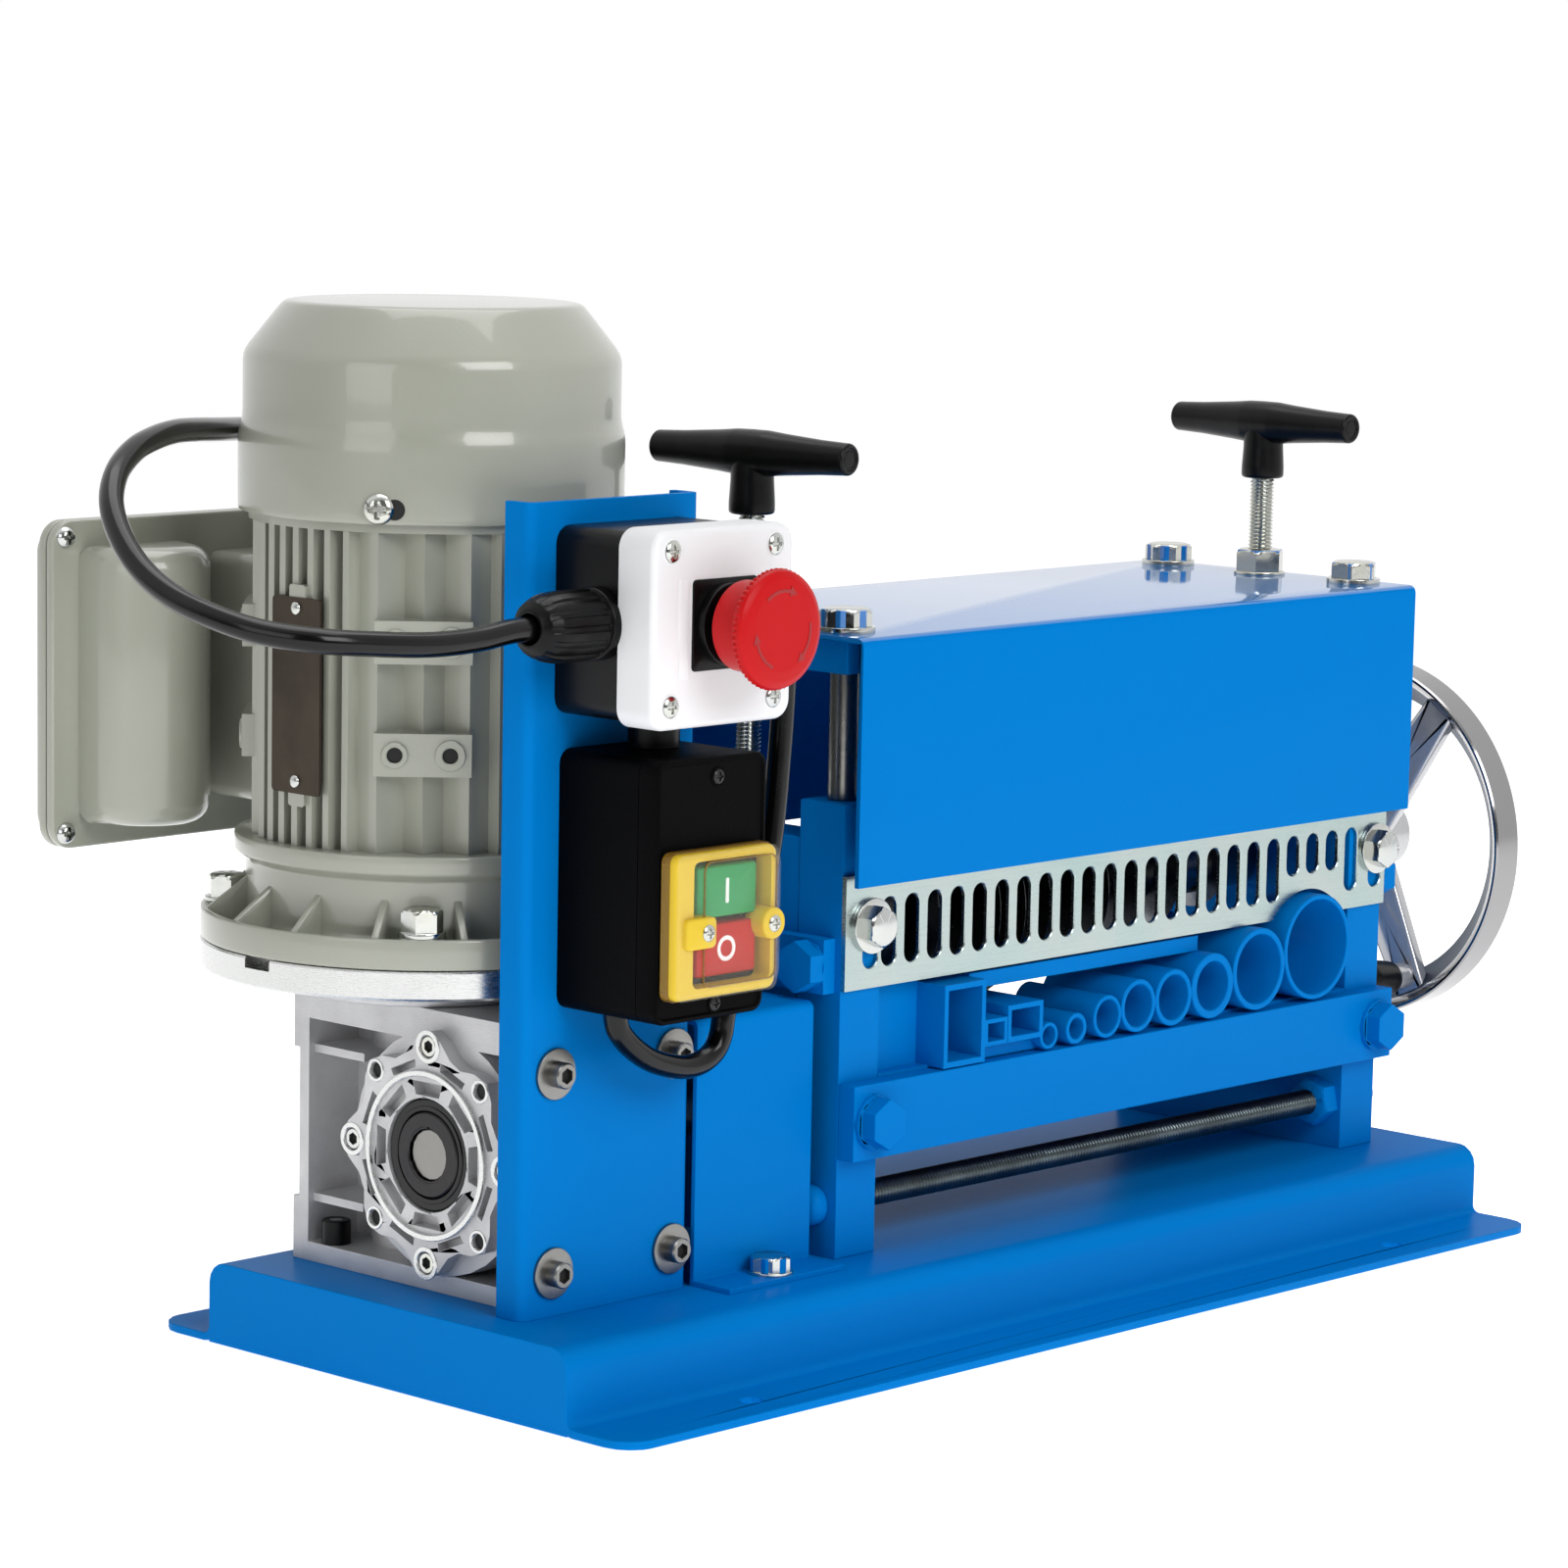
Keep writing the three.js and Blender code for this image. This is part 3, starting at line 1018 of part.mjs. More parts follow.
// Switch bracket: a tall folded channel screwed to the front of the gearbox.
function bracketBody() {
  const b = bracket;
  const right = b.left + b.width;
  const middle = b.left + b.width / 2;
  const edge = panelFront + b.sideFlange;
  const half = [
    new THREE.Vector2(b.left, edge), ...arc(b.left + b.bend, panelFront + b.bend, b.bend, 180, 270),
  ];
  const inside = [
    ...arc(b.left + b.bend, panelFront + b.bend, b.bend - b.sheet, 270, 180), new THREE.Vector2(b.left + b.sheet, edge),
  ];
  const flip = (points) => points.map((p) => new THREE.Vector2(2 * middle - p.x, p.y)).reverse();
  return extrude('z', deck, b.top, [...half, ...flip(half), ...flip(inside), ...inside]);
}
piece('switch_bracket', bracketBody(), blue);

// Emergency stop station.
const estopBack = panelFront;
const estopSeam = estopBack - estop.baseDepth;
const estopFront = estopSeam - estop.lidDepth;
const estopX = estop.left + estop.width / 2;
const estopZ = estop.bottom + estop.axisRise;
const estopRight = estop.left + estop.width;
const linkY = (estopBack + estopSeam) / 2;
const glandCentre = [estopBack - gland.setBack, estopZ - gland.drop];

// Cable gland on the left face; its bore ends at the floor, where the cable's end lies.
function cableGland() {
  const g = gland;
  const face = estop.left - gap;
  const body = face - g.collarLength;
  const floor = body - g.bodyLength;
  const end = floor - g.noseLength;
  const root = estop.left + estop.baseInset;
  const shell = turn('x', glandCentre, [
    [0, root], [g.neck, root], [g.neck, face], [g.collar, face], [g.collar, body], [g.body, body],
    [g.body, floor], [g.nose, floor], [g.shoulder, (floor + end) / 2], [g.mouth, end], [0, end],
  ], g.sides);
  return shell.subtract(rod('x', glandCentre, g.bore, end - over, floor, tinySides));
}

function estopBase() {
  const e = estop;
  const inset = e.baseInset;
  const shell = extrude('y', estopSeam, estopBack, roundedRect(e.left + inset, e.bottom + inset,
    estopRight - inset, e.bottom + e.height - inset, e.corner));
  const well = rod('y', [estopX, estopZ], e.well, estopSeam - over, estopSeam + e.well, smallSides);
  const link = rod('z', [estopX, linkY], gland.linkRadius, station.bottom + station.height,
    e.bottom + inset + weld, smallSides);
  const ring = pipe('z', [estopX, linkY], gland.linkRadius + gland.linkRing, gland.linkRadius - weld,
    e.bottom - 2 * gland.linkRing, e.bottom - gland.linkRing, smallSides);
  return join([shell.subtract(well), link, ring]);
}
piece('estop_base', estopBase(), blackPlastic);
piece('estop_gland', cableGland(), blackPlastic);

function estopLid() {
  const e = estop;
  const shell = extrude('y', estopFront, estopSeam, roundedRect(e.left, e.bottom, estopRight, e.bottom + e.height, e.corner));
  const window = box([estopX - e.insert, estopFront - over, estopZ - e.insert],
    [estopX + e.insert, estopFront + e.insertDepth, estopZ + e.insert]);
  const bore = rod('y', [estopX, estopZ], e.collarRadius - e.collarOut + gap, estopFront - over, estopSeam + over, smallSides);
  return cut(shell, [window, bore]);
}
piece('estop_lid', estopLid(), whitePlastic);

function estopCollar() {
  const e = estop;
  const inner = e.plungerRadius + gap;
  const plate = box([estopX - e.insert + gap, estopFront + gap, estopZ - e.insert + gap],
    [estopX + e.insert - gap, estopFront + e.insertDepth, estopZ + e.insert - gap]);
  const ring = rod('y', [estopX, estopZ], e.collarRadius, estopFront - e.collarOut, estopFront + e.insertDepth, smallSides);
  const bore = rod('y', [estopX, estopZ], inner, estopFront - e.collarOut - over, estopFront + e.insertDepth + over, smallSides);
  return join([plate, ring]).subtract(bore);
}
piece('estop_collar', estopCollar(), blackPlastic);

// The plunger slides in and the mushroom turns on it.
const neckRear = estopFront - estop.collarOut - estop.stroke - gap;
const plungerFront = estopFront - estop.capStart;
function estopPlunger() {
  return rod('y', [estopX, estopZ], estop.plungerRadius, plungerFront, estopSeam + estop.plungerOut, smallSides);
}
piece('estop_plunger', estopPlunger(), blackPlastic);

function estopMushroom() {
  const e = estop;
  const capBack = estopFront - e.capStart;
  const capFront = capBack - e.capThick;
  const inner = e.plungerRadius + gap;
  return turn('y', [estopX, estopZ], [
    [inner, neckRear], [e.neckRadius, neckRear], [e.neckRadius, capBack], [e.capRadius, capBack - over],
    [e.capRadius, capFront], [e.capRadius - e.capCrown, capFront - e.capCrown], [0, capFront - e.capCrown],
    [0, plungerFront - gap], [inner, plungerFront - gap], [inner, neckRear],
  ], roundSides);
}
piece('estop_mushroom', estopMushroom(), red);

// Start and stop station.
const stationBack = panelFront;
const stationSeam = stationBack - station.boxDepth;
const stationFront = stationSeam - station.lidDepth;
const stationRight = station.left + station.width;
const stationTop = station.bottom + station.height;
const window = {
  left: station.left + station.windowLeft, low: station.bottom + station.windowBottom,
};
window.right = window.left + station.windowWidth;
window.high = window.low + station.windowHeight;

function stationBox() {
  const s = station;
  const shell = extrude('y', stationSeam, stationBack, roundedRect(s.left, s.bottom, stationRight, stationTop, s.corner));
  const well = box([window.left, stationSeam - over, window.low], [window.right, stationSeam + s.buttonDepth + s.stroke, window.high]);
  const leadHole = rod('z', [s.left + s.leadLeft, stationBack - s.leadBack], s.leadHole, s.bottom - over,
    s.bottom + s.leadDepth, tinySides);
  return cut(shell, [well, leadHole]);
}
piece('station_box', stationBox(), blackPlastic);

function stationLid() {
  const s = station;
  const shell = extrude('y', stationFront, stationSeam - gap, roundedRect(s.left, s.bottom, stationRight, stationTop, s.corner),
    [rect(window.left, window.low, window.right, window.high)]);
  return shell;
}
piece('station_lid', stationLid(), blackPlastic);

const frameOuter = stationFront - station.frameOut;
function stationFrame() {
  const s = station;
  const left = s.left + s.frameLeft;
  const low = s.bottom + s.frameBottom;
  const hole = rect(window.left, window.low, window.right, window.high);
  const lower = extrude('y', frameOuter + s.frameBevel, stationFront,
    roundedRect(left, low, left + s.frameWidth, low + s.frameHeight, s.frameCorner), [hole]);
  const upper = extrude('y', frameOuter, frameOuter + s.frameBevel + weld, roundedRect(left + s.frameBevel,
    low + s.frameBevel, left + s.frameWidth - s.frameBevel, low + s.frameHeight - s.frameBevel, s.frameEdge), [hole]);
  const ears = [s.earLeft, s.earRight].map((x) => (
    rod('y', [s.left + x, s.bottom + s.earRise], s.earRadius, frameOuter - s.earOut, frameOuter + weld, smallSides)
  ));
  const inner = box([window.left, frameOuter - s.earOut - over, window.low], [window.right, stationFront, window.high]);
  return join([lower, upper, ...ears]).subtract(inner);
}
piece('station_frame', stationFrame(), yellow);

function button(low, high) {
  const s = station;
  const g = s.buttonGap;
  return box([window.left + g, frameOuter + s.buttonOut, low + g / 2],
    [window.right - g, stationSeam + s.buttonDepth, high - g / 2]);
}
const windowMid = (window.low + window.high) / 2;
piece('start_button', button(windowMid, window.high - gap), green);
piece('stop_button', button(window.low + gap, windowMid), red);

// Soft clear cover over the buttons, held by the two ears.
function stationCover() {
  const s = station;
  const [left, right] = [s.left + s.earLeft + s.earRadius + gap, s.left + s.earRight - s.earRadius - gap];
  const low = window.low - s.coverWall;
  const high = window.high + s.coverWall;
  const outer = extrude('y', frameOuter - s.coverOut, frameOuter, roundedRect(left, low, right, high, s.frameCorner));
  const inner = box([left + s.coverWall, frameOuter - s.coverOut + s.coverWall, low + s.coverWall],
    [right - s.coverWall, frameOuter + over, high - s.coverWall]);
  return outer.subtract(inner);
}
piece('station_cover', stationCover(), clear);

// Shaft guard.
function guardBody() {
  const g = guard;
  const half = [
    new THREE.Vector2(g.front - g.foot, deck), new THREE.Vector2(g.front - g.foot, deck + g.sheet),
    new THREE.Vector2(g.front, deck + g.sheet), ...arc(g.front + g.bend, g.top - g.bend, g.bend, 180, 90),
  ];
  const inside = [
    ...arc(g.front + g.bend, g.top - g.bend, g.bend - g.sheet, 90, 180),
    new THREE.Vector2(g.front + g.sheet, deck),
  ];
  const body = extrude('x', g.left, g.right, [...half, ...mirrorY(half), ...mirrorY(inside), ...inside]);
  const bolt = hexBolt('z', [(g.left + g.right) / 2, g.front - g.foot / 2], deck + g.sheet, 1,
    strip.boltFlats, strip.boltHead, g.foot / 2 - over, over);
  return join([body, bolt]);
}
piece('shaft_guard', guardBody(), blue);

// Free leads: a round cable swept along hand-set points.
function lead(points, steps) {
  const path = new THREE.CatmullRomCurve3(points.map((p) => new THREE.Vector3(...p)), false, 'centripetal');
  const section = new THREE.Shape(circle(0, 0, leadRadius, leadSides));
  return solid(new THREE.ExtrudeGeometry(section, { steps, extrudePath: path, bevelEnabled: false }));
}
const motorLead = [
  [6.3, 18, 273], [-2, 18, 273], [-12.5, 18, 272.9], [-28, 18, 271.2], [-47.8, 19, 270.7],
  [-69.5, 23, 272], [-88, 30, 273.7], [-98.4, 46, 275.9], [-103.3, 64, 279.9], [-104.6, 82, 284.9],
  [-104, 98, 292.1], [-100.9, 112, 301.1], [-94.5, 125, 311.1], [-83.5, 136, 319.9],
  [-67.3, 146.5, 326.6], [-51.5, 155, 329.5], [-34.6, 164, 330.7], [-15.3, 175, 330], [5.1, 187, 328.6],
  [27.6, 200.5, 327.1], [51, 211, 325.6], [64, 215.5, 323.5], [75, 217.6, 314.9], [82.4, 218, 304.1],
  [85, 218, 292], [85, 218, 286.4], [85, 218, 281],
];
const stationLead = [
  [40.6, 20, 141.2], [40.7, 20, 137], [42, 20, 132.4], [45.5, 20, 128.2], [50.4, 20, 124.2],
  [57.1, 20, 120.1], [65.9, 20, 116.9], [75.6, 20, 115], [84.4, 20, 116], [90.2, 20, 119.5],
  [93, 20, 124.4], [94.3, 20, 131], [97.6, 20, 141], [102.6, 20, 153], [108, 20, 163.5],
  [112.6, 20, 173.2], [115, 20, 183.4], [117.2, 20, 194.8], [118.7, 20, 206.2], [119.8, 20, 217.7],
  [120.8, 20, 229], [121.5, 20, 240.6], [121.8, 20, 252], [121.8, 22.7, 265.8], [121.8, 30.5, 277.5],
  [121.8, 42.2, 285.3], [122.2, 56, 288], [125, 74, 287.7], [131.5, 95, 285.4], [137, 116, 282],
  [139, 140, 277.7], [137, 162, 273.4], [134.8, 178, 271.1], [134, 187, 270.4], [134, 193, 270.4],
  [134, 199.7, 270.4],
];
piece('motor_lead', lead(motorLead, motorLeadSteps), rubber);
piece('station_lead', lead(stationLead, stationLeadSteps), rubber);

// The origin lies on the bench under the front flange, midway along the machine.
const part = new THREE.Group();
machine.position.set(-base.length / 2, base.originOut, 0);
part.add(machine);
export default part;
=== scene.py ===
# %% [markdown]
# A bench machine that slits the insulation off cable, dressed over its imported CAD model. A geared
# motor turns knife discs under a blue hood, cable goes in through guide tubes in front, and a
# handwheel turns the same shaft by hand. Sizes are millimetres in the machine's drawing: x from
# the gearbox to the handwheel, y away from the operator, z up from the bench. `row` makes them
# metres in the row frame and `drawing` turns those back. `PIVOT` and `box` read from the CAD
# model where its parts turn and stand, so that the dressing follows it.

# %% Start
import json
import math
import bmesh
import bpy
import numpy as np
from mathutils import Matrix, Vector


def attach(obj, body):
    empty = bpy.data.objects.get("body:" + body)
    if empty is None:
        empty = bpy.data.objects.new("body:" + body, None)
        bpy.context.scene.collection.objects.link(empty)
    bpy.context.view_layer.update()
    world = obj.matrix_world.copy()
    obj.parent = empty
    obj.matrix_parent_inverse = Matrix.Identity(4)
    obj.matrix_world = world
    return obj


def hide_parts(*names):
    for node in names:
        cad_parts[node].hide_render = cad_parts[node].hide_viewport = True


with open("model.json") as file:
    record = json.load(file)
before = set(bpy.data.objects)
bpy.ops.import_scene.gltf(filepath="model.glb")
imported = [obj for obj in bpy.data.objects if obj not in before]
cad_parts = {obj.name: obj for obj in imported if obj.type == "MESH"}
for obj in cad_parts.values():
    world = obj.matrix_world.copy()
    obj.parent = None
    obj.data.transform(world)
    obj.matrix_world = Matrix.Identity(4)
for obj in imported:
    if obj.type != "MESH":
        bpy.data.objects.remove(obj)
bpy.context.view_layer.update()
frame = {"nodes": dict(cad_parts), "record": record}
RECORD = frame["record"]
BODY = {node: body for body, nodes in RECORD["behaviour"]["bodies"].items() for node in nodes}
SLOT = {part["node"]: part["material_slot"] for part in RECORD["subparts"]}
ORIGIN = np.array([258, -11.5, 0])


def row(points):
    """Drawing millimetres as metres from the row frame's origin."""
    return (np.asarray(points, float) - ORIGIN) / 1000


def drawing(points):
    """Metres in the row frame as drawing millimetres, to a hundredth."""
    return np.round(np.asarray(points, float) * 1000 + ORIGIN, 2)


def box(node):
    """A CAD node's lowest and highest corner in the drawing."""
    corners = drawing([tuple(corner) for corner in frame["nodes"][node].bound_box])
    return corners.min(0), corners.max(0)


PIVOT = {j["name"]: drawing(j["pos_m"]) for j in RECORD["behaviour"]["joints"] if "pos_m" in j}
MOTOR = PIVOT["rotor_spin"] * [1, 1, 0]
BLADES = PIVOT["blade_shaft_spin"] * [0, 1, 1]
FEED = PIVOT["feed_shaft_spin"] * [0, 1, 1]
STOP = PIVOT["stop_twist"] * [1, 0, 1]
SCREWS = {side: PIVOT[side + "_screw_turn"] * [1, 1, 0] for side in ("left", "right")}
print("motor at", MOTOR, "blades at", BLADES)

# %% [markdown]
# The camera is a pin-hole fitted to the photograph, so that the render can be laid over it. It
# could be placed by eye, but a long lens about 2 m away hides an error of place behind one of
# focal length. So its place, direction, roll, focal length and shift were all fitted together
# and are set here as they came out. Focal length and middle column are in the photograph's pixels.

# %% Camera
PHOTO, SENSOR = 1600, 36
FOCAL, CENTRE_COLUMN, SHIFT_UP = 5502.5, 801.17, 0.034
EYE = (-1.5032, -1.2510, 0.4654)
AZIMUTH, ELEVATION, ROLL = (math.radians(degrees) for degrees in (-46.87, 8.32, 1.11))

scene = bpy.context.scene
back = Vector((math.sin(AZIMUTH) * math.cos(ELEVATION), -math.cos(AZIMUTH) * math.cos(ELEVATION),
               math.sin(ELEVATION)))
level = Vector((math.cos(AZIMUTH), math.sin(AZIMUTH), 0))
rolled = level * math.cos(ROLL) + back.cross(level) * math.sin(ROLL)
stance = Matrix((rolled, back.cross(rolled), back)).transposed().to_4x4()
camera = bpy.data.objects.new("camera", bpy.data.cameras.new("camera"))
scene.collection.objects.link(camera)
camera.matrix_world = Matrix.Translation(EYE) @ stance
camera.data.sensor_width = SENSOR
camera.data.lens = FOCAL * SENSOR / PHOTO
camera.data.shift_x = (PHOTO / 2 - CENTRE_COLUMN) / PHOTO
camera.data.shift_y = SHIFT_UP
camera.data.clip_end = 50
scene.camera = camera
scene.view_settings.view_transform = "Standard"
print("camera lens", round(camera.data.lens, 1), "mm")

# %% [markdown]
# Materials are graphs of nodes. They could be wired by hand in the editor, or node by node in a
# script, and both are hard to read back. Here `Term` wraps a socket, so that an expression such
# as `1 - mask * 0.5` adds its own Math nodes, and `add_node` puts in any other node: its settings
# first, then its sockets.

# %% Shader arithmetic
def plug(tree, slot, value):
    """A link when the value is a term, else the plain value."""
    if isinstance(value, Term):
        tree.links.new(value.socket, slot)
    else:
        slot.default_value = value


def add_node(tree, kind, output=0, settings=(), sockets=()):
    """One node, by type, settings and sockets; its chosen output comes back as a term."""
    made_node = tree.nodes.new(kind)
    for name, value in dict(settings).items():
        setattr(made_node, name, value)
    for name, value in dict(sockets).items():
        plug(tree, made_node.inputs[name], value)
    return Term(tree, made_node.outputs[output]) if len(made_node.outputs) else None


class Term:
    """A value inside a node tree. Sums, products and powers add Math nodes to it; `most` and
    `least` take the larger and the smaller, and `held` keeps it between 0 and 1."""

    def __init__(self, tree, socket):
        self.tree, self.socket = tree, socket

    def maths(self, operation, *values):
        """One Math node on the values, in their order."""
        return add_node(self.tree, "ShaderNodeMath", settings={"operation": operation},
                        sockets=dict(enumerate(values)))

    def __add__(self, o): return self.maths("ADD", self, o)
    def __radd__(self, o): return self.maths("ADD", o, self)
    def __sub__(self, o): return self.maths("SUBTRACT", self, o)
    def __rsub__(self, o): return self.maths("SUBTRACT", o, self)
    def __mul__(self, o): return self.maths("MULTIPLY", self, o)
    def __rmul__(self, o): return self.maths("MULTIPLY", o, self)
    def __pow__(self, o): return self.maths("POWER", self, o)
    def most(self, o): return self.maths("MAXIMUM", self, o)
    def least(self, o): return self.maths("MINIMUM", self, o)
    def held(self): return self.most(0.0).least(1.0)


print("shader arithmetic ready")

# %% [markdown]
# Paint, metal and plastic all start from Blender's Principled shader, which covers every finish
# here. `Finish` makes one such material, reads its patterns from Object coordinates so that they
# stay on the piece when it moves, and keeps it in `MADE` under its name. Colours are written as
# they look on a screen, and `linear` turns them into the shader's own scale.

# %% A material's start
MADE = {}


def linear(color):
    """An sRGB colour in 0..255 as a linear one: c / 12.92 near black, else a power of 2.4."""
    c = np.asarray(color, float) / 255
    return (*np.where(c <= 0.04045, c / 12.92, ((c + 0.055) / 1.055) ** 2.4), 1.0)


class Finish:
    """One material on the Principled shader."""

    def __init__(self, name, color, roughness, metallic=0.0, coat=0.0):
        self.material = bpy.data.materials.new(name)
        self.material.use_nodes = True
        self.tree = self.material.node_tree
        self.color = linear(color)
        self.set("Base Color", self.color)
        self.set("Roughness", roughness)
        self.set("Metallic", metallic)
        self.set("Coat Weight", coat)
        self.place = self.node("ShaderNodeTexCoord", "Object")
        MADE[name] = self.material

    def set(self, name, value):
        """A value or a term for one input of the Principled shader."""
        plug(self.tree, self.tree.nodes["Principled BSDF"].inputs[name], value)

    def node(self, kind, output, **sockets):
        """One more node in this material."""
        return add_node(self.tree, kind, output, sockets=sockets)

    def noise(self, scale, detail=2.0, stretch=None):
        """Smooth noise on Object coordinates, which a stretch draws out into a lay."""
        where = self.place
        if stretch:
            where = self.node("ShaderNodeMapping", "Vector", Vector=where, Scale=stretch)
        return self.node("ShaderNodeTexNoise", "Fac", Vector=where, Scale=scale, Detail=detail)

    def mixed(self, share, a, b):
        """The colour a where the share is 0 and b where it is 1."""
        factor, first, second, result = 0, 6, 7, 2
        return add_node(self.tree, "ShaderNodeMix", result, {"data_type": "RGBA"},
                        {factor: share, first: a, second: b})

    def bump(self, height, distance, strength):
        """A height in shares of a distance in metres, which tilts the normal."""
        self.set("Normal", self.node("ShaderNodeBump", "Normal", Height=height,
                                     Distance=distance, Strength=strength))


print("materials can start")

# %% [markdown]
# The frame's powder coat and the motor's enamel are sprayed: even in colour and gloss, with a
# shallow orange peel. A picture of paint would need each sheet unwrapped, and would show seams,
# so noise of about a millimetre gives the peel as a bump, and broad noise keeps the gloss from
# looking flat. The hood's top is the glossiest, so a clear layer follows the height there, right
# of the switch bracket.

# %% Paints
def painted(name, color, roughness, coat, peel):
    """Even paint: a shade darker in soft patches, roughness off by up to 0.05."""
    f = Finish(name, color, roughness, coat=coat)
    f.set("Coat Roughness", 0.06)
    f.set("Roughness", roughness + (f.noise(9.0, 3.0) - 0.5) * 0.10)
    patch = (f.noise(26.0) - 0.5) * 0.05
    dark = (*(c * 0.86 for c in f.color[:3]), 1.0)
    f.set("Base Color", f.mixed((0.5 + patch * 4).held() * 0.35, f.color, dark))
    f.bump(f.noise(900.0, 1.0), 0.0004, peel)
    return f


# A mask rises from 0 to 1 in a quarter of a millimetre; the hood starts 0.1 m left of the origin.
EDGE = 4000
HOOD_REACH = 0.1
HOOD_SKIN = box("hood")[1][2] / 1000 - 0.0012
blue = painted("blue_paint", (0, 119, 199), 0.36, 0.0, 0.10)
blue.set("Specular IOR Level", 0.015)
along, height = (blue.node("ShaderNodeSeparateXYZ", k, Vector=blue.place) for k in (0, 2))
on_hood = ((along + HOOD_REACH) * EDGE).held() * ((height - HOOD_SKIN) * EDGE).held()
blue.set("Coat Weight", on_hood * 0.97 + 0.004)
blue.set("Coat IOR", 1.7)
painted("motor_paint", (156, 158, 146), 0.32, 0.7, 0.12)
print("paints made")

# %% [markdown]
# Cast aluminium is blasted, so it is grey, grainy and matt, with faint flow marks. Machined faces
# are the same metal cut bright, and zinc plate has a soft tint over a fine brushed lay. The grain
# is far too small to model, so one function gives each metal a fine noise for grain, which a
# stretch turns into a brushed lay, and a broad one for the patches of gloss and tint.

# %% Metals
def metal(name, color, roughness, grain, bump, stretch=None, tint=None, shine=1.0):
    """Fine noise moves roughness by 0.11 and the bump, broad noise by 0.06 and the tint."""
    f = Finish(name, color, roughness, shine)
    fine = f.noise(grain, 3.0, stretch)
    broad = f.noise(40.0, 3.0)
    f.set("Roughness", (roughness + (fine - 0.5) * 0.22 + (broad - 0.5) * 0.12).held())
    if tint:
        f.set("Base Color", f.mixed((broad * 2 - 0.6).held(), f.color, linear(tint)))
    f.bump(fine, 0.0003, bump)
    return f


metal("cast_aluminium", (206, 206, 207), 0.46, 1300.0, 0.55, tint=(172, 172, 174), shine=0.5)
metal("machined_aluminium", (205, 206, 205), 0.26, 500.0, 0.10, (1, 1, 6))
metal("zinc", (190, 194, 195), 0.17, 420.0, 0.06, tint=(200, 198, 184))
metal("strip_zinc", (170, 180, 178), 0.26, 160.0, 0.06, (0.3, 1, 6), (160, 180, 178))
metal("steel", (134, 133, 130), 0.32, 500.0, 0.12)
metal("blade_steel", (120, 122, 124), 0.22, 600.0, 0.04)
metal("dark_steel", (52, 53, 57), 0.36, 600.0, 0.18, tint=(64, 61, 58))
metal("oiled_steel", (92, 102, 106), 0.34, 300.0, 0.2, tint=(60, 66, 68))
metal("knurled_steel", (92, 94, 96), 0.4, 700.0, 0.9)
metal("bronze_plate", (74, 66, 58), 0.42, 300.0, 0.08, tint=(58, 52, 47))
print(len(MADE), "finishes so far")

# %% [markdown]
# The wheel's rim is turned bright outside, while its coned inner face and the spokes stay as
# cast. The cone carries painted shade with a painted blue reflection of the frame that it faces.
# Three pieces with three materials would show seams where they meet. So it is one casting, and
# masks in its material follow the distance from the shaft: the spokes lie inside a circle, and
# the cone beyond a line that leans with x.

# %% Wheel metal
CONE_START = 551.6
SPOKE_END, CONE_RADIUS, CONE_SLOPE = 0.0713, 0.0689, 0.894
wheel_metal = metal("polished_aluminium", (152, 151, 152), 0.15, 260.0, 0.05)
along, across, up = (wheel_metal.node("ShaderNodeSeparateXYZ", k, Vector=wheel_metal.place) - at
                     for k, at in enumerate(row(BLADES + (CONE_START, 0, 0)).tolist()))
reach = (across * across + up * up) ** 0.5
inside = ((SPOKE_END - reach) * EDGE).held()
cone = inside * ((reach + along * CONE_SLOPE - CONE_RADIUS) * EDGE).held()
spoke = inside - cone
# Painted shade and a painted blue reflection: the cone's colour is darkened to blue-grey.
cone_painted_shade = wheel_metal.mixed(cone, wheel_metal.color, linear((62, 74, 92)))
wheel_metal.set("Base Color", wheel_metal.mixed(spoke, cone_painted_shade, linear((196, 196, 198))))
wheel_metal.set("Roughness", cone * 0.30 + 0.15)
wheel_metal.set("Metallic", 1.0 - spoke * 0.45)
print("wheel metal made")

# %% [markdown]
# Moulded plastics have one even colour, a fine spark-eroded grain and a satin to glossy skin. The
# grain could be a displacement, but it is a tenth of a millimetre deep, so a bump does. The cover
# over the buttons is a soft clear membrane, a little brown at its edge: glass would need deep
# light paths, so a low Alpha makes it clear.

# %% Plastics
def moulded(name, color, roughness, grain=700.0, bump=0.10, gloss=0.5):
    """Even colour; broad noise moves roughness by 0.04 and fine noise is the grain."""
    f = Finish(name, color, roughness)
    f.set("Specular IOR Level", gloss)
    f.set("Roughness", roughness + (f.noise(60.0) - 0.5) * 0.08)
    f.bump(f.noise(grain, 1.0), 0.0003, bump)
    return f


moulded("black_plastic", (7, 7, 8), 0.30, gloss=0.17)
moulded("station_black", (5, 5, 6), 0.44, 1100.0, 0.35, gloss=0.03)
moulded("white_plastic", (228, 229, 231), 0.40)
moulded("red_plastic", (184, 12, 18), 0.36, gloss=0.15)
moulded("arrow_red", (150, 10, 18), 0.4)
moulded("green_plastic", (0, 146, 82), 0.32, gloss=0.3)
moulded("yellow_plastic", (218, 186, 46), 0.34, gloss=0.25)
moulded("lettering_white", (240, 240, 240), 0.45)
moulded("rubber", (5, 5, 6), 0.18, 900.0, 0.04, gloss=0.3)
# Painted shade: a near-black finish for discs that stand in for the shade deep in holes and
# sockets.
moulded("painted_hole_shade", (8, 8, 9), 0.7)
moulded("clear_plastic", (226, 220, 204), 0.16, 300.0, 0.05).set("Alpha", 0.05)
moulded("cover_edge", (140, 104, 40), 0.2, 300.0, 0.05).set("Alpha", 0.5)
print(len(MADE), "finishes")

# %% [markdown]
# Blender's modelling tools could build each piece by hand, but the steps can't be read back. Here
# every new surface is a grid of points, worked out as whole arrays from a formula. `Shape`
# gathers the grids of one piece, which may be drawn upright, then turned to face a way, moved to
# its place and spun about an axis.

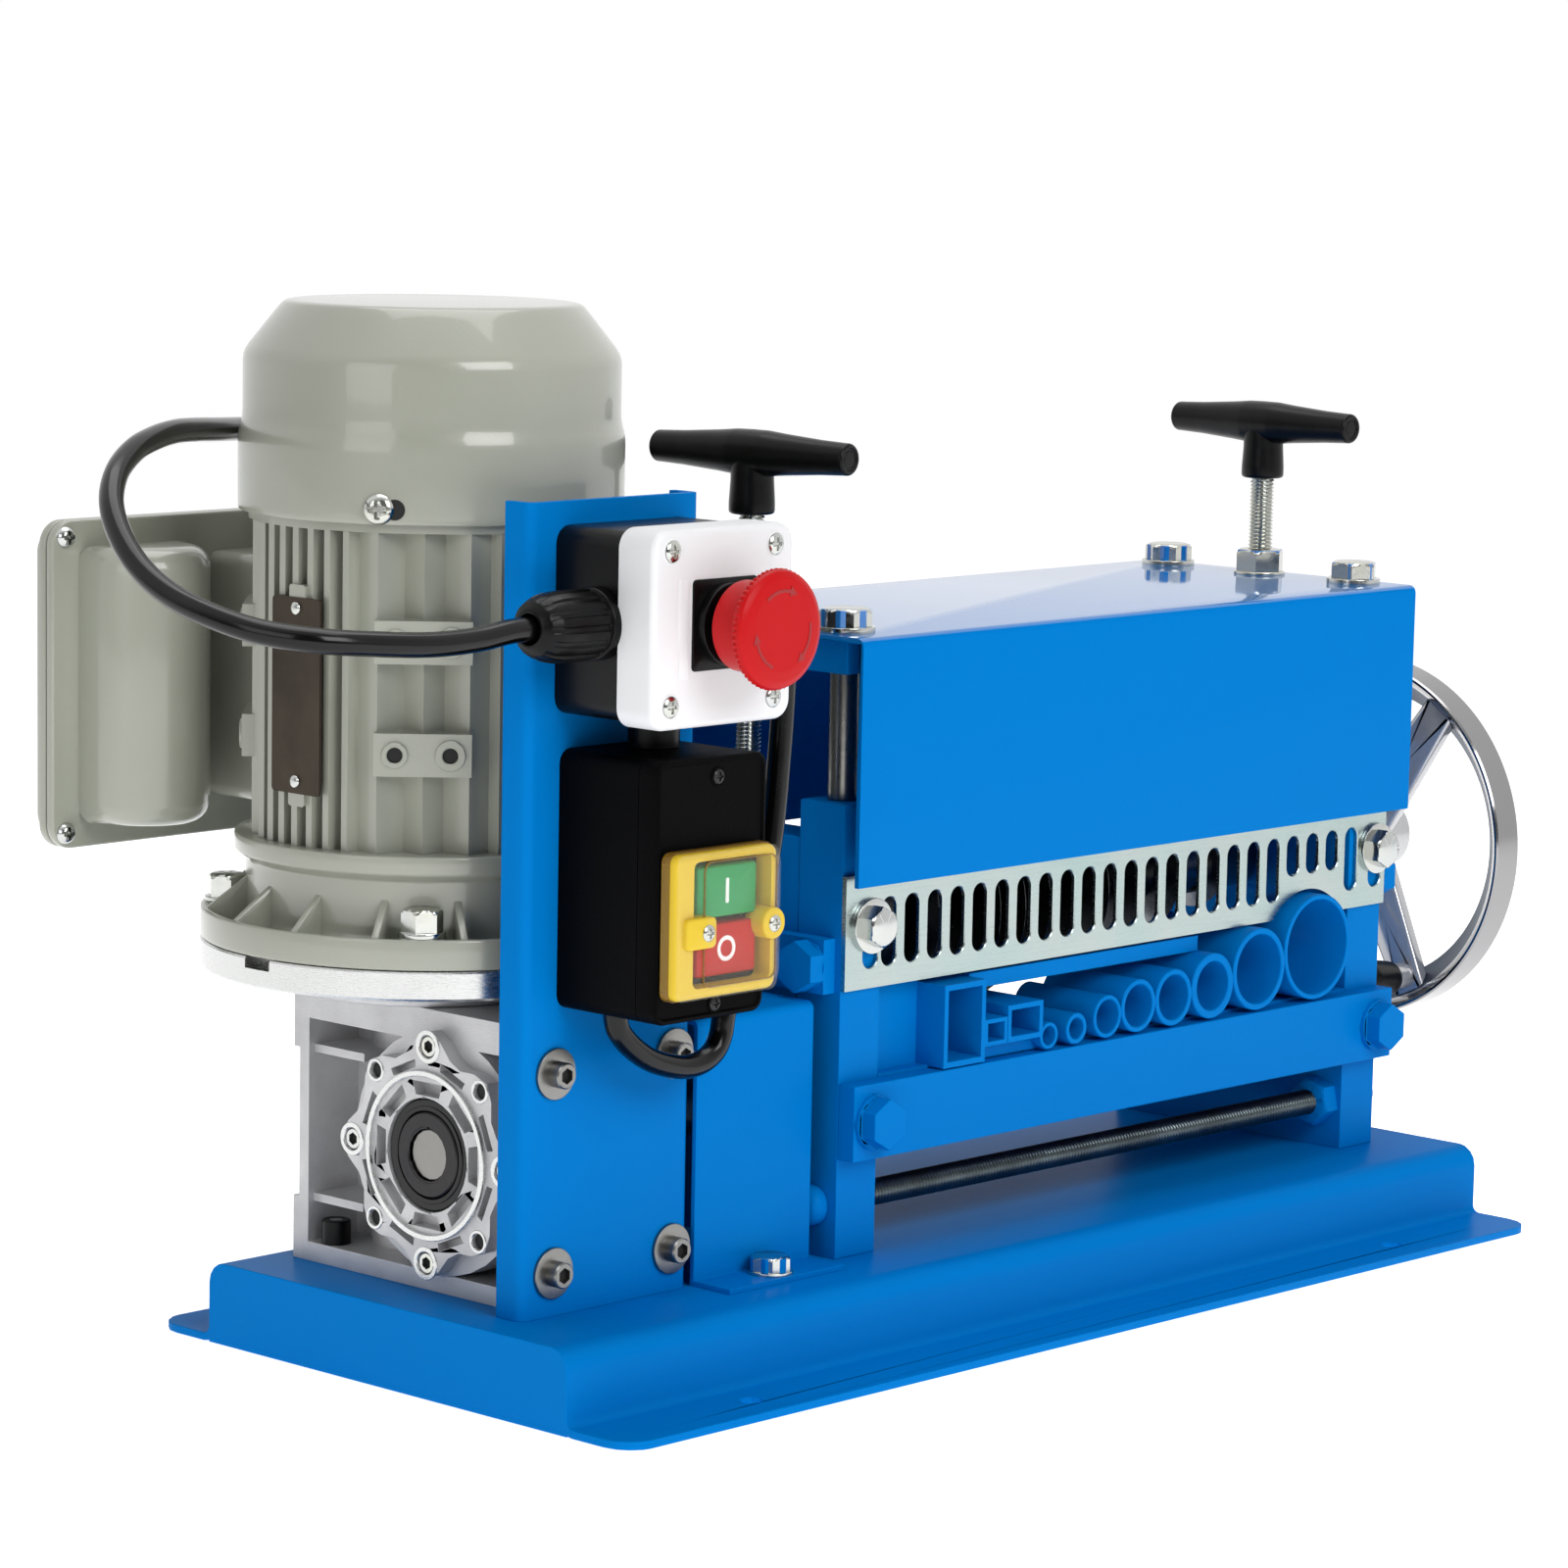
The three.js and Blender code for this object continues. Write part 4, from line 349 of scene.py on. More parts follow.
# %% Shapes from grids
# The drawing's axes for a shape's own x, y and z, by the way that its z faces.
FACING = {
    "up": ((1, 0, 0), (0, 1, 0), (0, 0, 1)), "front": ((1, 0, 0), (0, 0, 1), (0, -1, 0)),
    "left": ((0, -1, 0), (0, 0, 1), (-1, 0, 0)), "right": ((0, 1, 0), (0, 0, 1), (1, 0, 0)),
}


class Shape:
    """The grids of one piece: their points, and faces between the points."""

    def __init__(self):
        self.points, self.faces, self.start = [], [], 0

    def add(self, grid, around=True, along=False):
        """A grid (n, m, 3): faces between neighbours, closed in m when around, in n when along."""
        n, m = grid.shape[:2]
        index = np.arange(n * m).reshape(n, m)
        if around:
            index = np.hstack([index, index[:, :1]])
        if along:
            index = np.vstack([index, index[:1]])
        quads = np.stack([index[:-1, :-1], index[:-1, 1:], index[1:, 1:], index[1:, :-1]], -1)
        self.faces.append(quads.reshape(-1, 4) + self.start)
        self.points.append(grid.reshape(-1, 3))
        self.start += n * m
        return self

    def extend(self, other, move=(0, 0, 0), facing="up"):
        """Another shape's grids, turned to face a way and then moved."""
        turn = np.array(FACING[facing], float)
        self.points += [points @ turn + np.asarray(move, float) for points in other.points]
        self.faces += [faces + self.start for faces in other.faces]
        self.start += other.start
        return self

    def spun(self, axis, centre, degrees):
        """The same shape turned about an axis through a centre."""
        turn = np.array(Matrix.Rotation(math.radians(degrees), 3, Vector(axis)))
        self.points = [(points - centre) @ turn.T + centre for points in self.points]
        return self


def placed(shape, move=(0, 0, 0), facing="up"):
    """A shape by itself, turned to face a way and then moved."""
    return Shape().extend(shape, move, facing)


print("shapes ready")

# %% [markdown]
# `made` puts a shape in the scene. It welds coincident points, which closes seams and poles,
# turns the faces outward, and marks edges over an angle as sharp, so that flat and round parts of
# one piece both shade right. `skin` does the same with a copy of a CAD node, whose triangles are
# loose, and breaks its edges with a Bevel modifier. Both say which body the piece rides.

# %% Pieces in the scene
def finished(mesh, name, finish, body, slot, nodes, sharp):
    """Weld, turn faces outward, shade smooth up to an angle, and join the frame."""
    bm = bmesh.new()
    bm.from_mesh(mesh)
    bmesh.ops.remove_doubles(bm, verts=bm.verts, dist=2e-6)
    bmesh.ops.dissolve_degenerate(bm, edges=bm.edges, dist=1e-7)
    bmesh.ops.recalc_face_normals(bm, faces=bm.faces)
    bm.to_mesh(mesh)
    bm.free()
    mesh.shade_smooth()
    mesh.set_sharp_from_angle(angle=math.radians(sharp))
    mesh.materials.clear()
    mesh.materials.append(MADE[finish])
    piece = bpy.data.objects.new(name, mesh)
    scene.collection.objects.link(piece)
    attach(piece, body)
    if nodes:
        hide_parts(*nodes)
    return piece


def made(name, shape, finish, body, slot, nodes=(), sharp=35.0):
    """A shape's grids as one mesh in the row frame, finished."""
    mesh = bpy.data.meshes.new(name)
    mesh.from_pydata(row(np.vstack(shape.points)).tolist(), [], np.vstack(shape.faces).tolist())
    return finished(mesh, name, finish, body, slot, nodes, sharp)


def skin(node, finish, width, sharp=30.0):
    """A CAD node's own shape, merged, with a finish and its edges broken by a bevel."""
    mesh = frame["nodes"][node].data.copy()
    normals = mesh.attributes.get("custom_normal")
    if normals:
        mesh.attributes.remove(normals)
    piece = finished(mesh, node + "_skin", finish, BODY[node], SLOT[node], [node], sharp)
    edge = piece.modifiers.new("edge", "BEVEL")
    edge.width = width / 1000
    edge.segments = 2
    edge.limit_method = "ANGLE"
    edge.angle_limit = math.radians(sharp)
    edge.harden_normals = True


print("pieces ready")

# %% [markdown]
# Round pieces are a profile of (radius, height) turned about an axis, as on a lathe. `eased`
# first rounds the profile's corners, because a real edge is never sharp and catches the light. A
# Screw modifier could turn the profile too, but here a ripple may also depend on the angle, which
# makes flutes, a knurl or a notch.

# %% Turned profiles
def eased(profile, radius=0.6, steps=3):
    """The profile with each inner corner cut back by radius and joined by a parabola."""
    p = np.asarray(profile, float)
    out = [p[:1]]
    t = np.linspace(0, 1, steps + 1)[:, None]
    for last, corner, after in zip(p[:-2], p[1:-1], p[2:]):
        legs = np.array([last - corner, after - corner])
        size = np.maximum(np.linalg.norm(legs, axis=1, keepdims=True), 1e-9)
        a, b = corner + legs / size * np.minimum(radius, size * 0.45)
        out.append((1 - t) ** 2 * a + 2 * t * (1 - t) * corner + t ** 2 * b)
    return np.vstack(out + [p[-1:]])


def angles(count):
    """Equal steps once round."""
    return np.arange(count) / count * 2 * np.pi


def polar(r, t, h):
    """Points from radius, angle and height: (r cos t, r sin t, h)."""
    return np.stack(np.broadcast_arrays(r * np.cos(t), r * np.sin(t), h), -1)


def turned_grid(profile, sides=96, ripple=None):
    """A profile turned: radius and height by row, angle by column; ripple adds to the radius."""
    p = np.asarray(profile, float)
    t = angles(sides)
    r, h = (np.repeat(p[:, k:k + 1], sides, 1) for k in (0, 1))
    if ripple is not None:
        r = r + ripple(t[None, :], h, r)
    return polar(r, t, h)


def turned(profile, sides=96, ripple=None, ease=0.6):
    """An open profile turned, with its corners eased."""
    p = eased(profile, ease) if ease else profile
    return Shape().add(turned_grid(p, sides, ripple))


def ring(outer, inner, low, high, sides=96, ease=0.4):
    """A pipe whose four edges are cut at 45 degrees."""
    p = [(inner + ease, low), (outer - ease, low), (outer, low + ease), (outer, high - ease),
         (outer - ease, high), (inner + ease, high), (inner, high - ease), (inner, low + ease)]
    return Shape().add(turned_grid(p, sides), along=True)


print("turned profiles ready")

# %% [markdown]
# Plates, boxes and keys are slabs: a profile of (offset, height) is carried round a closed
# outline, so the edges come out eased like those of the round pieces. A cube with a Bevel would
# do for a plain box, but a slab takes any outline, and each edge its own width.

# %% Slabs
def outline_normals(outline):
    """Outward normals of a closed outline, from the chord between the neighbours."""
    step = np.roll(outline, -1, 0) - np.roll(outline, 1, 0)
    n = np.stack([step[:, 1], -step[:, 0]], -1)
    return n / np.maximum(np.linalg.norm(n, axis=1, keepdims=True), 1e-9)


def lifted(rows):
    """A grid from rows of (outline, height)."""
    return np.stack([np.column_stack([p, np.full(len(p), h)]) for p, h in rows])


def slab(outline, profile):
    """A profile of (offset, height) carried round an outline; offset None is the middle."""
    o = np.asarray(outline, float)
    n = outline_normals(o)
    middle = np.repeat((o.max(0) + o.min(0))[None] / 2, len(o), 0)
    return Shape().add(lifted([(middle if d is None else o + n * d, h) for d, h in profile]))


def plate_profile(low, high, ease=0.8, steps=3):
    """A solid plate's profile, with both outer edges quarter rounds of radius ease."""
    a = np.linspace(0, np.pi / 2, steps + 1)
    lower = [(-ease + ease * math.sin(x), low + ease - ease * math.cos(x)) for x in a]
    upper = [(-ease + ease * math.cos(x), high - ease + ease * math.sin(x)) for x in a]
    return [(None, low), *lower, *upper, (None, high)]


def rounded_rect(x0, y0, x1, y1, radius, steps=8):
    """A rectangle's outline, anticlockwise, with each corner an arc."""
    a = np.linspace(0, np.pi / 2, steps + 1)
    c = np.array([(x1 - radius, y0 + radius), (x1 - radius, y1 - radius),
                  (x0 + radius, y1 - radius), (x0 + radius, y0 + radius)])
    turns = np.arange(4)[:, None] * np.pi / 2 - np.pi / 2 + a
    pts = c[:, None] + radius * np.stack([np.cos(turns), np.sin(turns)], -1)
    return pts.reshape(-1, 2)


print("slabs ready")

# %% [markdown]
# Fasteners repeat all over the machine. A forged hexagon head is a prism cut by a shallow cone,
# so its radius is the smaller of the two, which gives the curved chamfers. A socket is a cylinder
# with a hexagon sunk in it. A Boolean could cut both, but it leaves long thin faces that shade
# badly, while a radius given by angle keeps an even grid.

# %% Bolts and socket screws
def hex_radius(t, flats):
    """Distance from the middle to a hexagon's side: half the flats over the cosine."""
    return flats / 2 / np.cos((t + np.pi / 6) % (np.pi / 3) - np.pi / 6)


def hex_bolt(flats, head, washer_radius=0.0, washer=0.0, twist=0.0):
    """A hexagonal prism cut by a cone, on a washer if it has one."""
    s = Shape()
    if washer_radius:
        s.extend(turned([(0, -0.3), (washer_radius, -0.3), (washer_radius, washer), (0, washer)],
                        56, ease=0.25))
    t = angles(72)
    h = np.concatenate([[washer - 0.2], washer + head * np.linspace(0.5, 1, 8)])[:, None]
    cone_radius = 0.92 * flats / 2 + (washer + head - h) * 1.73
    r = np.minimum(hex_radius(t, flats)[None], cone_radius)
    r = np.vstack([0 * r[:1], r, 0 * r[:1]])
    h = np.vstack([h[:1], h, h[-1:]])
    return s.add(polar(r, t + math.radians(twist), h))


def socket_screw(radius, head, flats, depth=2.2, edge=0.5):
    """A cylinder with a chamfer; its rows turn from round to hexagonal where the socket starts."""
    t = angles(48)
    rows = [(0, 0, False), (radius, 0, False), (radius, head - edge, False),
            (radius - edge, head, False), (flats * 0.62, head, False), (flats, head, True),
            (flats, head - depth, True), (0, head - depth, False)]
    r = np.array([hex_radius(t, a) if is_hex else 0 * t + a for a, _, is_hex in rows])
    return Shape().add(polar(r, t, np.array([[h] for _, h, _ in rows])))


print("bolts ready")

# %% [markdown]
# The small screws have a cross in a domed head: the dome is a height over the disc, less a cross
# where the smaller distance to the two bars is short. A thread is a rod whose radius falls and
# rises once per pitch along a helix. A bump would do for the thread from afar, but its outline
# stands against the white background between hood and T handle, so it is cut in the shape.

# %% Cross screws and threads
def cross_screw(radius, rise, twist):
    """Height = rise (1 - 3/4 share^4) over the disc, less the cross."""
    t = angles(80) + math.radians(twist)
    share = np.concatenate([[0], np.linspace(0.06, 1, 22), [1]])[:, None]
    x, y = share * radius * np.cos(t), share * radius * np.sin(t)
    small, large = np.minimum(abs(x), abs(y)), np.maximum(abs(x), abs(y))
    in_cross = np.clip((0.17 * radius - small) / 0.06 / radius, 0, 1)
    in_cross = in_cross * np.clip((0.62 * radius - large) / 0.08 / radius, 0, 1)
    h = rise * (1 - share ** 4 * 0.75) - in_cross * rise * 0.8
    h[-1] = 0
    return Shape().add(polar(share * radius, t, h)[::-1])


def threaded(radius, low, high, pitch, depth, sides):
    """A rod less depth times a clipped triangle wave of (height / pitch - angle / turn)."""
    t = angles(sides)
    h = np.linspace(low, high, int((high - low) / pitch * 7))[:, None] + 0 * t
    saw = abs((h / pitch - t / 2 / np.pi) % 1 - 0.5) * 2
    r = radius - depth * np.clip(saw * 1.3 - 0.15, 0, 1)
    r = np.vstack([0 * r[:1], r, 0 * r[:1]])
    h = np.vstack([h[:1], h, h[-1:]])
    return Shape().add(polar(r, t, h))


print("screws and threads ready")

# %% [markdown]
# Two free leads run from the switch boxes to the motor's terminal box. A tube could be swept as a
# mesh, but a curve with a round bevel keeps its thickness in every bend and its route stays a
# short list. Each list was set along the lead in the photograph, and a smooth curve passes
# through all its points.

# %% Leads
LEAD_DIAMETER = 0.0085


def through(points, steps=10):
    """A centripetal Catmull-Rom curve: cubic pieces whose slopes come from the neighbours."""
    p = np.asarray(points, float)
    p = np.vstack([2 * p[0] - p[1], p, 2 * p[-1] - p[-2]])
    gap = np.linalg.norm(np.diff(p, axis=0), axis=1)[:, None] ** 0.5
    a, b, c, d = p[:-3], p[1:-2], p[2:-1], p[3:]
    d0, d1, d2 = gap[:-2], gap[1:-1], gap[2:]
    m1 = ((b - a) / d0 - (c - a) / (d0 + d1) + (c - b) / d1) * d1
    m2 = ((c - b) / d1 - (d - b) / (d1 + d2) + (d - c) / d2) * d1
    t = (np.arange(steps) / steps)[None, :, None]
    b, c, m1, m2 = (v[:, None] for v in (b, c, m1, m2))
    h = (2 * t ** 3 - 3 * t ** 2 + 1) * b + (t ** 3 - 2 * t ** 2 + t) * m1
    h = h + (3 * t ** 2 - 2 * t ** 3) * c + (t ** 3 - t ** 2) * m2
    return np.vstack([h.reshape(-1, 3), p[-2:-1]])


def lead(name, points, node):
    """A round bevel carried along the curve through the points."""
    line = row(through(points))
    curve = bpy.data.curves.new(name, "CURVE")
    curve.dimensions = "3D"
    curve.bevel_depth = LEAD_DIAMETER / 2
    curve.bevel_resolution = 6
    curve.use_fill_caps = True
    spline = curve.splines.new("POLY")
    spline.points.add(len(line) - 1)
    spline.points.foreach_set("co", np.column_stack([line, np.ones(len(line))]).ravel())
    spline.use_smooth = True
    curve.materials.append(MADE["rubber"])
    piece = bpy.data.objects.new(name, curve)
    scene.collection.objects.link(piece)
    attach(piece, "machine")
    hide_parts(node)


motor_route = [
    (6.3, 18, 273), (-2, 18, 273), (-12.5, 18, 272.9), (-28, 18, 271.2), (-47.8, 19, 270.7),
    (-69.5, 23, 272), (-88, 30, 273.7), (-98.4, 46, 275.9), (-103.3, 64, 279.9),
    (-104.6, 82, 284.9), (-104, 98, 292.1), (-100.9, 112, 301.1), (-94.5, 125, 311.1),
    (-83.5, 136, 319.9), (-67.3, 146.5, 326.6), (-51.5, 155, 329.5), (-34.6, 164, 330.7),
    (-15.3, 175, 330), (5.1, 187, 328.6), (27.6, 200.5, 327.1), (51, 211, 325.6),
    (64, 215.5, 323.5), (75, 217.6, 314.9), (82.4, 218, 304.1), (85, 218, 292), (85, 218, 286.4),
    (85, 218, 281),
]
station_route = [
    (40.6, 20, 141.2), (40.7, 20, 137), (42, 20, 132.4), (45.5, 20, 128.2), (50.4, 20, 124.2),
    (57.1, 20, 120.1), (65.9, 20, 116.9), (75.6, 20, 115), (84.4, 20, 116), (90.2, 20, 119.5),
    (93, 20, 124.4), (94.3, 20, 131), (97.6, 20, 141), (102.6, 20, 153), (108, 20, 163.5),
    (112.6, 20, 173.2), (115, 20, 183.4), (117.2, 20, 194.8), (118.7, 20, 206.2),
    (119.8, 20, 217.7), (120.8, 20, 229), (121.5, 20, 240.6), (121.8, 20, 252),
    (121.8, 22.7, 265.8), (121.8, 30.5, 277.5), (121.8, 42.2, 285.3), (122.2, 56, 288),
    (125, 74, 287.7), (131.5, 95, 285.4), (137, 116, 282), (139, 140, 277.7), (137, 162, 273.4),
    (134.8, 178, 271.1), (134, 187, 270.4), (134, 193, 270.4), (134, 199.7, 270.4),
]
lead("motor_cable", motor_route, "motor_lead")
lead("station_cable", station_route, "station_lead")

# %% [markdown]
# Sheet, plate and bar parts are cut and folded steel under powder coat. Their CAD shape is
# already the real one, so it is kept. But its edges are knife-sharp, and a real edge carries a
# thin line of light. So each part is taken as a copy with its points merged, and a small bevel
# breaks its edges.

# %% Plates, bars and hood
COATED = ["base_tray", "left_side_frame", "right_side_frame", "front_bar", "left_top_bar",
          "right_top_bar", "hood", "left_keeper", "right_front_keeper", "right_rear_keeper",
          "left_bearing_block", "right_bearing_block", "guide_shelf", "switch_bracket",
          "shaft_guard"]
for node in COATED:
    skin(node, "blue_paint", 0.45)
print(len(COATED), "coated parts")

# %% [markdown]
# Four long bolts tie the hood and the top bars down to the side frames. Their heads and washers
# stand on the hood, and their bare shanks show in the gap between frame and bar. A nut on a wide
# washer sits where each T handle's screw passes through the hood. Copies of one bolt would all
# stand turned alike, so each is made with a turn of its own, as a spanner leaves it.

# %% Hood bolts
HOOD_TOP = box("hood")[1][2]
FRAME_TOP, BAR_BOTTOM = 197, 244
BOLT_REACH = 47.75

heads, shanks = Shape(), Shape()
for screw in SCREWS.values():
    on_top = screw + (0, 0, HOOD_TOP)
    for reach, twist in ((-BOLT_REACH, 10), (BOLT_REACH, 34)):
        heads.extend(hex_bolt(16.9, 6.6, 10.8, 2.2, twist + screw[0] / 9), on_top + (0, reach, 0))
        shank = turned([(0, FRAME_TOP + 0.2), (5.35, FRAME_TOP + 0.2), (5.35, BAR_BOTTOM - 0.2),
                        (0, BAR_BOTTOM - 0.2)], 40, ease=0.2)
        shanks.extend(shank, screw + (0, reach, 0))
    heads.extend(turned([(5.6, -0.2), (10.4, -0.2), (10.4, 1.2), (5.6, 1.2)], 48, ease=0.3), on_top)
    heads.extend(hex_bolt(17.4, 10.2, twist=screw[0]), on_top)
heads.extend(hex_bolt(13.3, 5.5, 8.3, 1.2, 20), (130, 29, 32))
made("zinc_bolts", heads, "zinc", "machine", "zinc")
made("bolt_shanks", shanks, "steel", "machine", "zinc")
print("hood bolts made")

# %% [markdown]
# Guide tubes are welded pipe of growing bore, so that each cable finds a tube that fits. They
# could be cylinders with a Solidify wall. A ring profile turned about the tube's axis gives the
# wall and the cut mouth in one, and a small bead of weld lies in the groove between neighbours.

# %% Guide tubes
TUBES = [(16.4, 1.7), (20.4, 2.0), (22, 2.2), (25.6, 3.2), (32.4, 2.4), (42, 2.0)]
SMALL_TUBES = [(276.7, 9.9, 1.2), (292.5, 11.6, 1.6)]
SHELF = box("large_guide_tubes")[0][2]
LAST_TUBE = box("large_guide_tubes")[1][0] - TUBES[-1][0] / 2


def tube_places():
    """x, diameter and wall by tube: on a shelf, round tubes touch at 2 sqrt(r1 r2) apart."""
    x, places = LAST_TUBE, []
    for diameter, wall in TUBES[::-1]:
        if places:
            x -= 2 * math.sqrt(diameter / 2 * places[-1][1] / 2)
        places.append((x, diameter, wall))
    return places[::-1]


tubes = tube_places()
for name, group in (("medium_guide_tubes", tubes[:3]), ("large_guide_tubes", tubes[3:])):
    s = Shape()
    for x, diameter, wall in group:
        tube = ring(diameter / 2, diameter / 2 - wall, -66, -25.5, ease=0.35)
        s.extend(tube, (x, 0, SHELF + diameter / 2), "front")
    for (xa, da, _), (xb, db, _) in zip(group, group[1:]):
        share = da / (da + db)
        x, z = xa + (xb - xa) * share, SHELF + da / 2 + (db - da) / 2 * share
        s.extend(turned([(0, -64), (1.1, -63), (1.1, -27), (0, -26)], 16), (x, 0, z), "front")
    made(name + "_pipes", s, "blue_paint", "machine", "blue_paint", [name])
s = Shape()
for x, diameter, wall in SMALL_TUBES:
    coat = 0.12
    tube = ring(diameter / 2 + coat, diameter / 2 - wall - coat, -66.1, -25.4, 64, 0.25)
    s.extend(tube, (x, 0, SHELF + diameter / 2), "front")
made("small_guide_pipes", s, "blue_paint", "machine", "blue_paint")
print(len(tubes) + len(SMALL_TUBES), "round guide tubes")

# %% [markdown]
# The strip is thin zinc-plated steel with a row of punched slots, through which the operator sees
# the discs. An Array of Booleans would punch them, and leave shading errors on the flat. Instead
# a ring of surface runs round each slot: its inner edge is the slot, its outer edge the cell that
# the slot sits in, so the cells tile the strip. The lower edge rises in an arch over the largest
# tube, and the slots there are shorter.

# %% Slotted strip
FRAMES_LEFT, FRAMES_RIGHT = (corner[0] for corner in box("front_bar"))
STRIP_LOW, STRIP_HIGH = (corner[2] for corner in box("slotted_strip"))
SLOT_PITCH, SLOT_WIDTH, SLOT_LOW, SLOT_HIGH = 12.5, 8.0, 136.3, 161.5
ARCH_RADIUS, ARCH_RISE = 28.0, 10.6
BOLT_SLOTS = (182.5, 483.25)
STRIP_BACK = 31.5


def strip_floor(x):
    """The lower edge: flat, or the circle over the largest tube where that is higher."""
    lift = ARCH_RADIUS ** 2 - (x - LAST_TUBE) ** 2
    arch = STRIP_LOW + ARCH_RISE - ARCH_RADIUS
    return np.maximum(STRIP_LOW, arch + np.sqrt(np.maximum(lift, 0)))


def slot_cell(left, right, centre, low, n=12):
    """Ring between an obround slot and its cell's edge, matched by angle; front and back faces."""
    q = SLOT_WIDTH / 2
    a = np.linspace(0, np.pi, n)
    upper = np.stack([centre + q * np.cos(a), SLOT_HIGH - q + q * np.sin(a)], -1)
    lower = np.stack([centre + q * np.cos(a + np.pi), low + q + q * np.sin(a + np.pi)], -1)
    inner = np.vstack([upper, lower])
    x = right + (left - right) * np.linspace(0, 1, n)
    outer = np.vstack([np.column_stack([x, 0 * x + STRIP_HIGH]),
                       np.column_stack([x[::-1], strip_floor(x[::-1])])])
    thickness, e = 2, 0.35
    wider = inner + outline_normals(inner) * e
    return lifted([(outer, -thickness), (wider, -thickness), (inner, e - thickness), (inner, -e),
                   (wider, 0), (outer, 0)])


def strip():
    """Cells side by side, and a rim that joins their front and back edges."""
    places = [BOLT_SLOTS[0]] + [192.5 + SLOT_PITCH * i for i in range(23)] + [BOLT_SLOTS[1]]
    middles = [(a + b) / 2 for a, b in zip(places, places[1:])]
    cuts = [FRAMES_LEFT, *middles, FRAMES_RIGHT]
    s = Shape()
    for i, x in enumerate(places):
        cell = slot_cell(cuts[i], cuts[i + 1], x, SLOT_LOW + (9.4 if i in (20, 21, 22) else 0))
        rims = cell[[0, -1]]
        s.add(cell).add(rims[:, :12], around=False).add(rims[:, 12:], around=False)
        if i == 0:
            s.add(rims[:, 11:13], around=False)
        if i == len(places) - 1:
            s.add(rims[:, [23, 0]], around=False)
    return s


bolts = Shape()
for x in BOLT_SLOTS:
    bolts.extend(hex_bolt(13.3, 5.5, 10.2, 1.8, x), (x, STRIP_BACK, 152), "front")
made("strip_bolts", bolts, "zinc", "machine", "zinc")
made("slotted_guard_strip", placed(strip(), (0, STRIP_BACK, 0), "front"), "strip_zinc", "machine",
     "zinc", ["slotted_strip"], sharp=40.0)
print("strip made")

# %% [markdown]
# The motor stands on the gearbox. Its fan cover is a spun cap, its end bell a dished casting with
# gusset ribs, and the adapter below it a machined ring on a cast neck with a notch in its edge.
# All are round, so each is a profile turned about the motor's axis, and the notch is a ripple in
# the radius, which needs no Boolean. The rib is a thin wedge, set round the bell by a loop.

# %% Motor housings
RIBS = 16


def about_motor(profile, sides=160, ripple=None, ease=0.8):
    """A profile of (radius, height) turned about the motor's axis."""
    return placed(turned(profile, sides, ripple, ease), MOTOR)


cap = about_motor([(66.4, 301.4), (67.7, 301.4), (68.4, 302.1), (68.4, 328.9), (66.8, 333.9),
                   (66.8, 356.9), (53.8, 373.4), (51.6, 375.2), (0, 375.2)], ease=3.2)
cap.extend(about_motor([(0, 373.4), (51, 373.4), (53, 372), (64.8, 356.4), (65.6, 332),
                        (66.4, 320), (66.4, 301.4)], ease=2))
made("fan_cover_shell", cap, "motor_paint", "machine", "motor_paint", ["fan_cover"])

bell = about_motor([(0, 149.2), (80.6, 149.2), (81, 150), (81, 160), (78, 160), (77.6, 154),
                    (67, 154), (65, 158), (65, 178), (69, 180.5), (69, 187), (0, 187)], ease=1.0)
rib_side = eased([(64, 153), (79.5, 153), (79.5, 160), (64, 172), (64, 153)], 1.0, 2)[:-1]
for k in range(RIBS):
    rib = placed(slab(rib_side, plate_profile(-1.3, 1.3, 0.5, 2)), MOTOR, "front")
    bell.extend(rib.spun((0, 0, 1), MOTOR, 360 * (k + 0.5) / RIBS))
made("motor_bell_casting", bell, "motor_paint", "machine", "motor_paint", ["motor_bell"])


def notch(t, h, r):
    """9 mm off the radius near half a turn, on the disc's upper edge."""
    across = np.clip((0.075 - abs(t - np.pi)) / 0.004, 0, 1)
    return -9.0 * across * (h > 145.2) * (r > 70)


neck = about_motor([(0, 130.6), (48, 130.6), (48, 137.5), (49, 138.5), (0, 138.5)], ease=1.5)
made("adapter_neck", neck, "cast_aluminium", "machine", "cast_aluminium", ["adapter_flange"])
disc = about_motor([(0, 138.5), (80, 138.5), (81, 139.5), (81, 145), (81, 145.4), (81, 148.2),
                    (80.4, 148.9), (0, 148.9)], 720, notch, 0)
made("adapter_ring", disc, "machined_aluminium", "machine", "cast_aluminium")
print("motor housings made")

# %% [markdown]
# The motor's frame is an extrusion: fins on four sides and a grooved pad on each corner, with
# lugs that carry tapped bosses for feet. The fins are the CAD model's own. Bosses, bolts and
# screws repeat round the axis. An Array could copy them, but it wants even steps, which the bell's
# bolts don't have, so one of each is drawn and set at a list of angles.

# %% Motor frame and its bolts
skin("motor_frame", "motor_paint", 0.5)
skin("cooling_fan", "black_plastic", 0.4)


def motor_detail(name, finish, places, shapes):
    """Shapes drawn on the motor's right side, spun about its axis to each angle."""
    s = Shape()
    for degrees in places:
        for shape, move in shapes:
            s.extend(placed(shape, MOTOR + move, "right").spun((0, 0, 1), MOTOR, degrees))
    made(name, s, finish, "machine", "motor_paint")


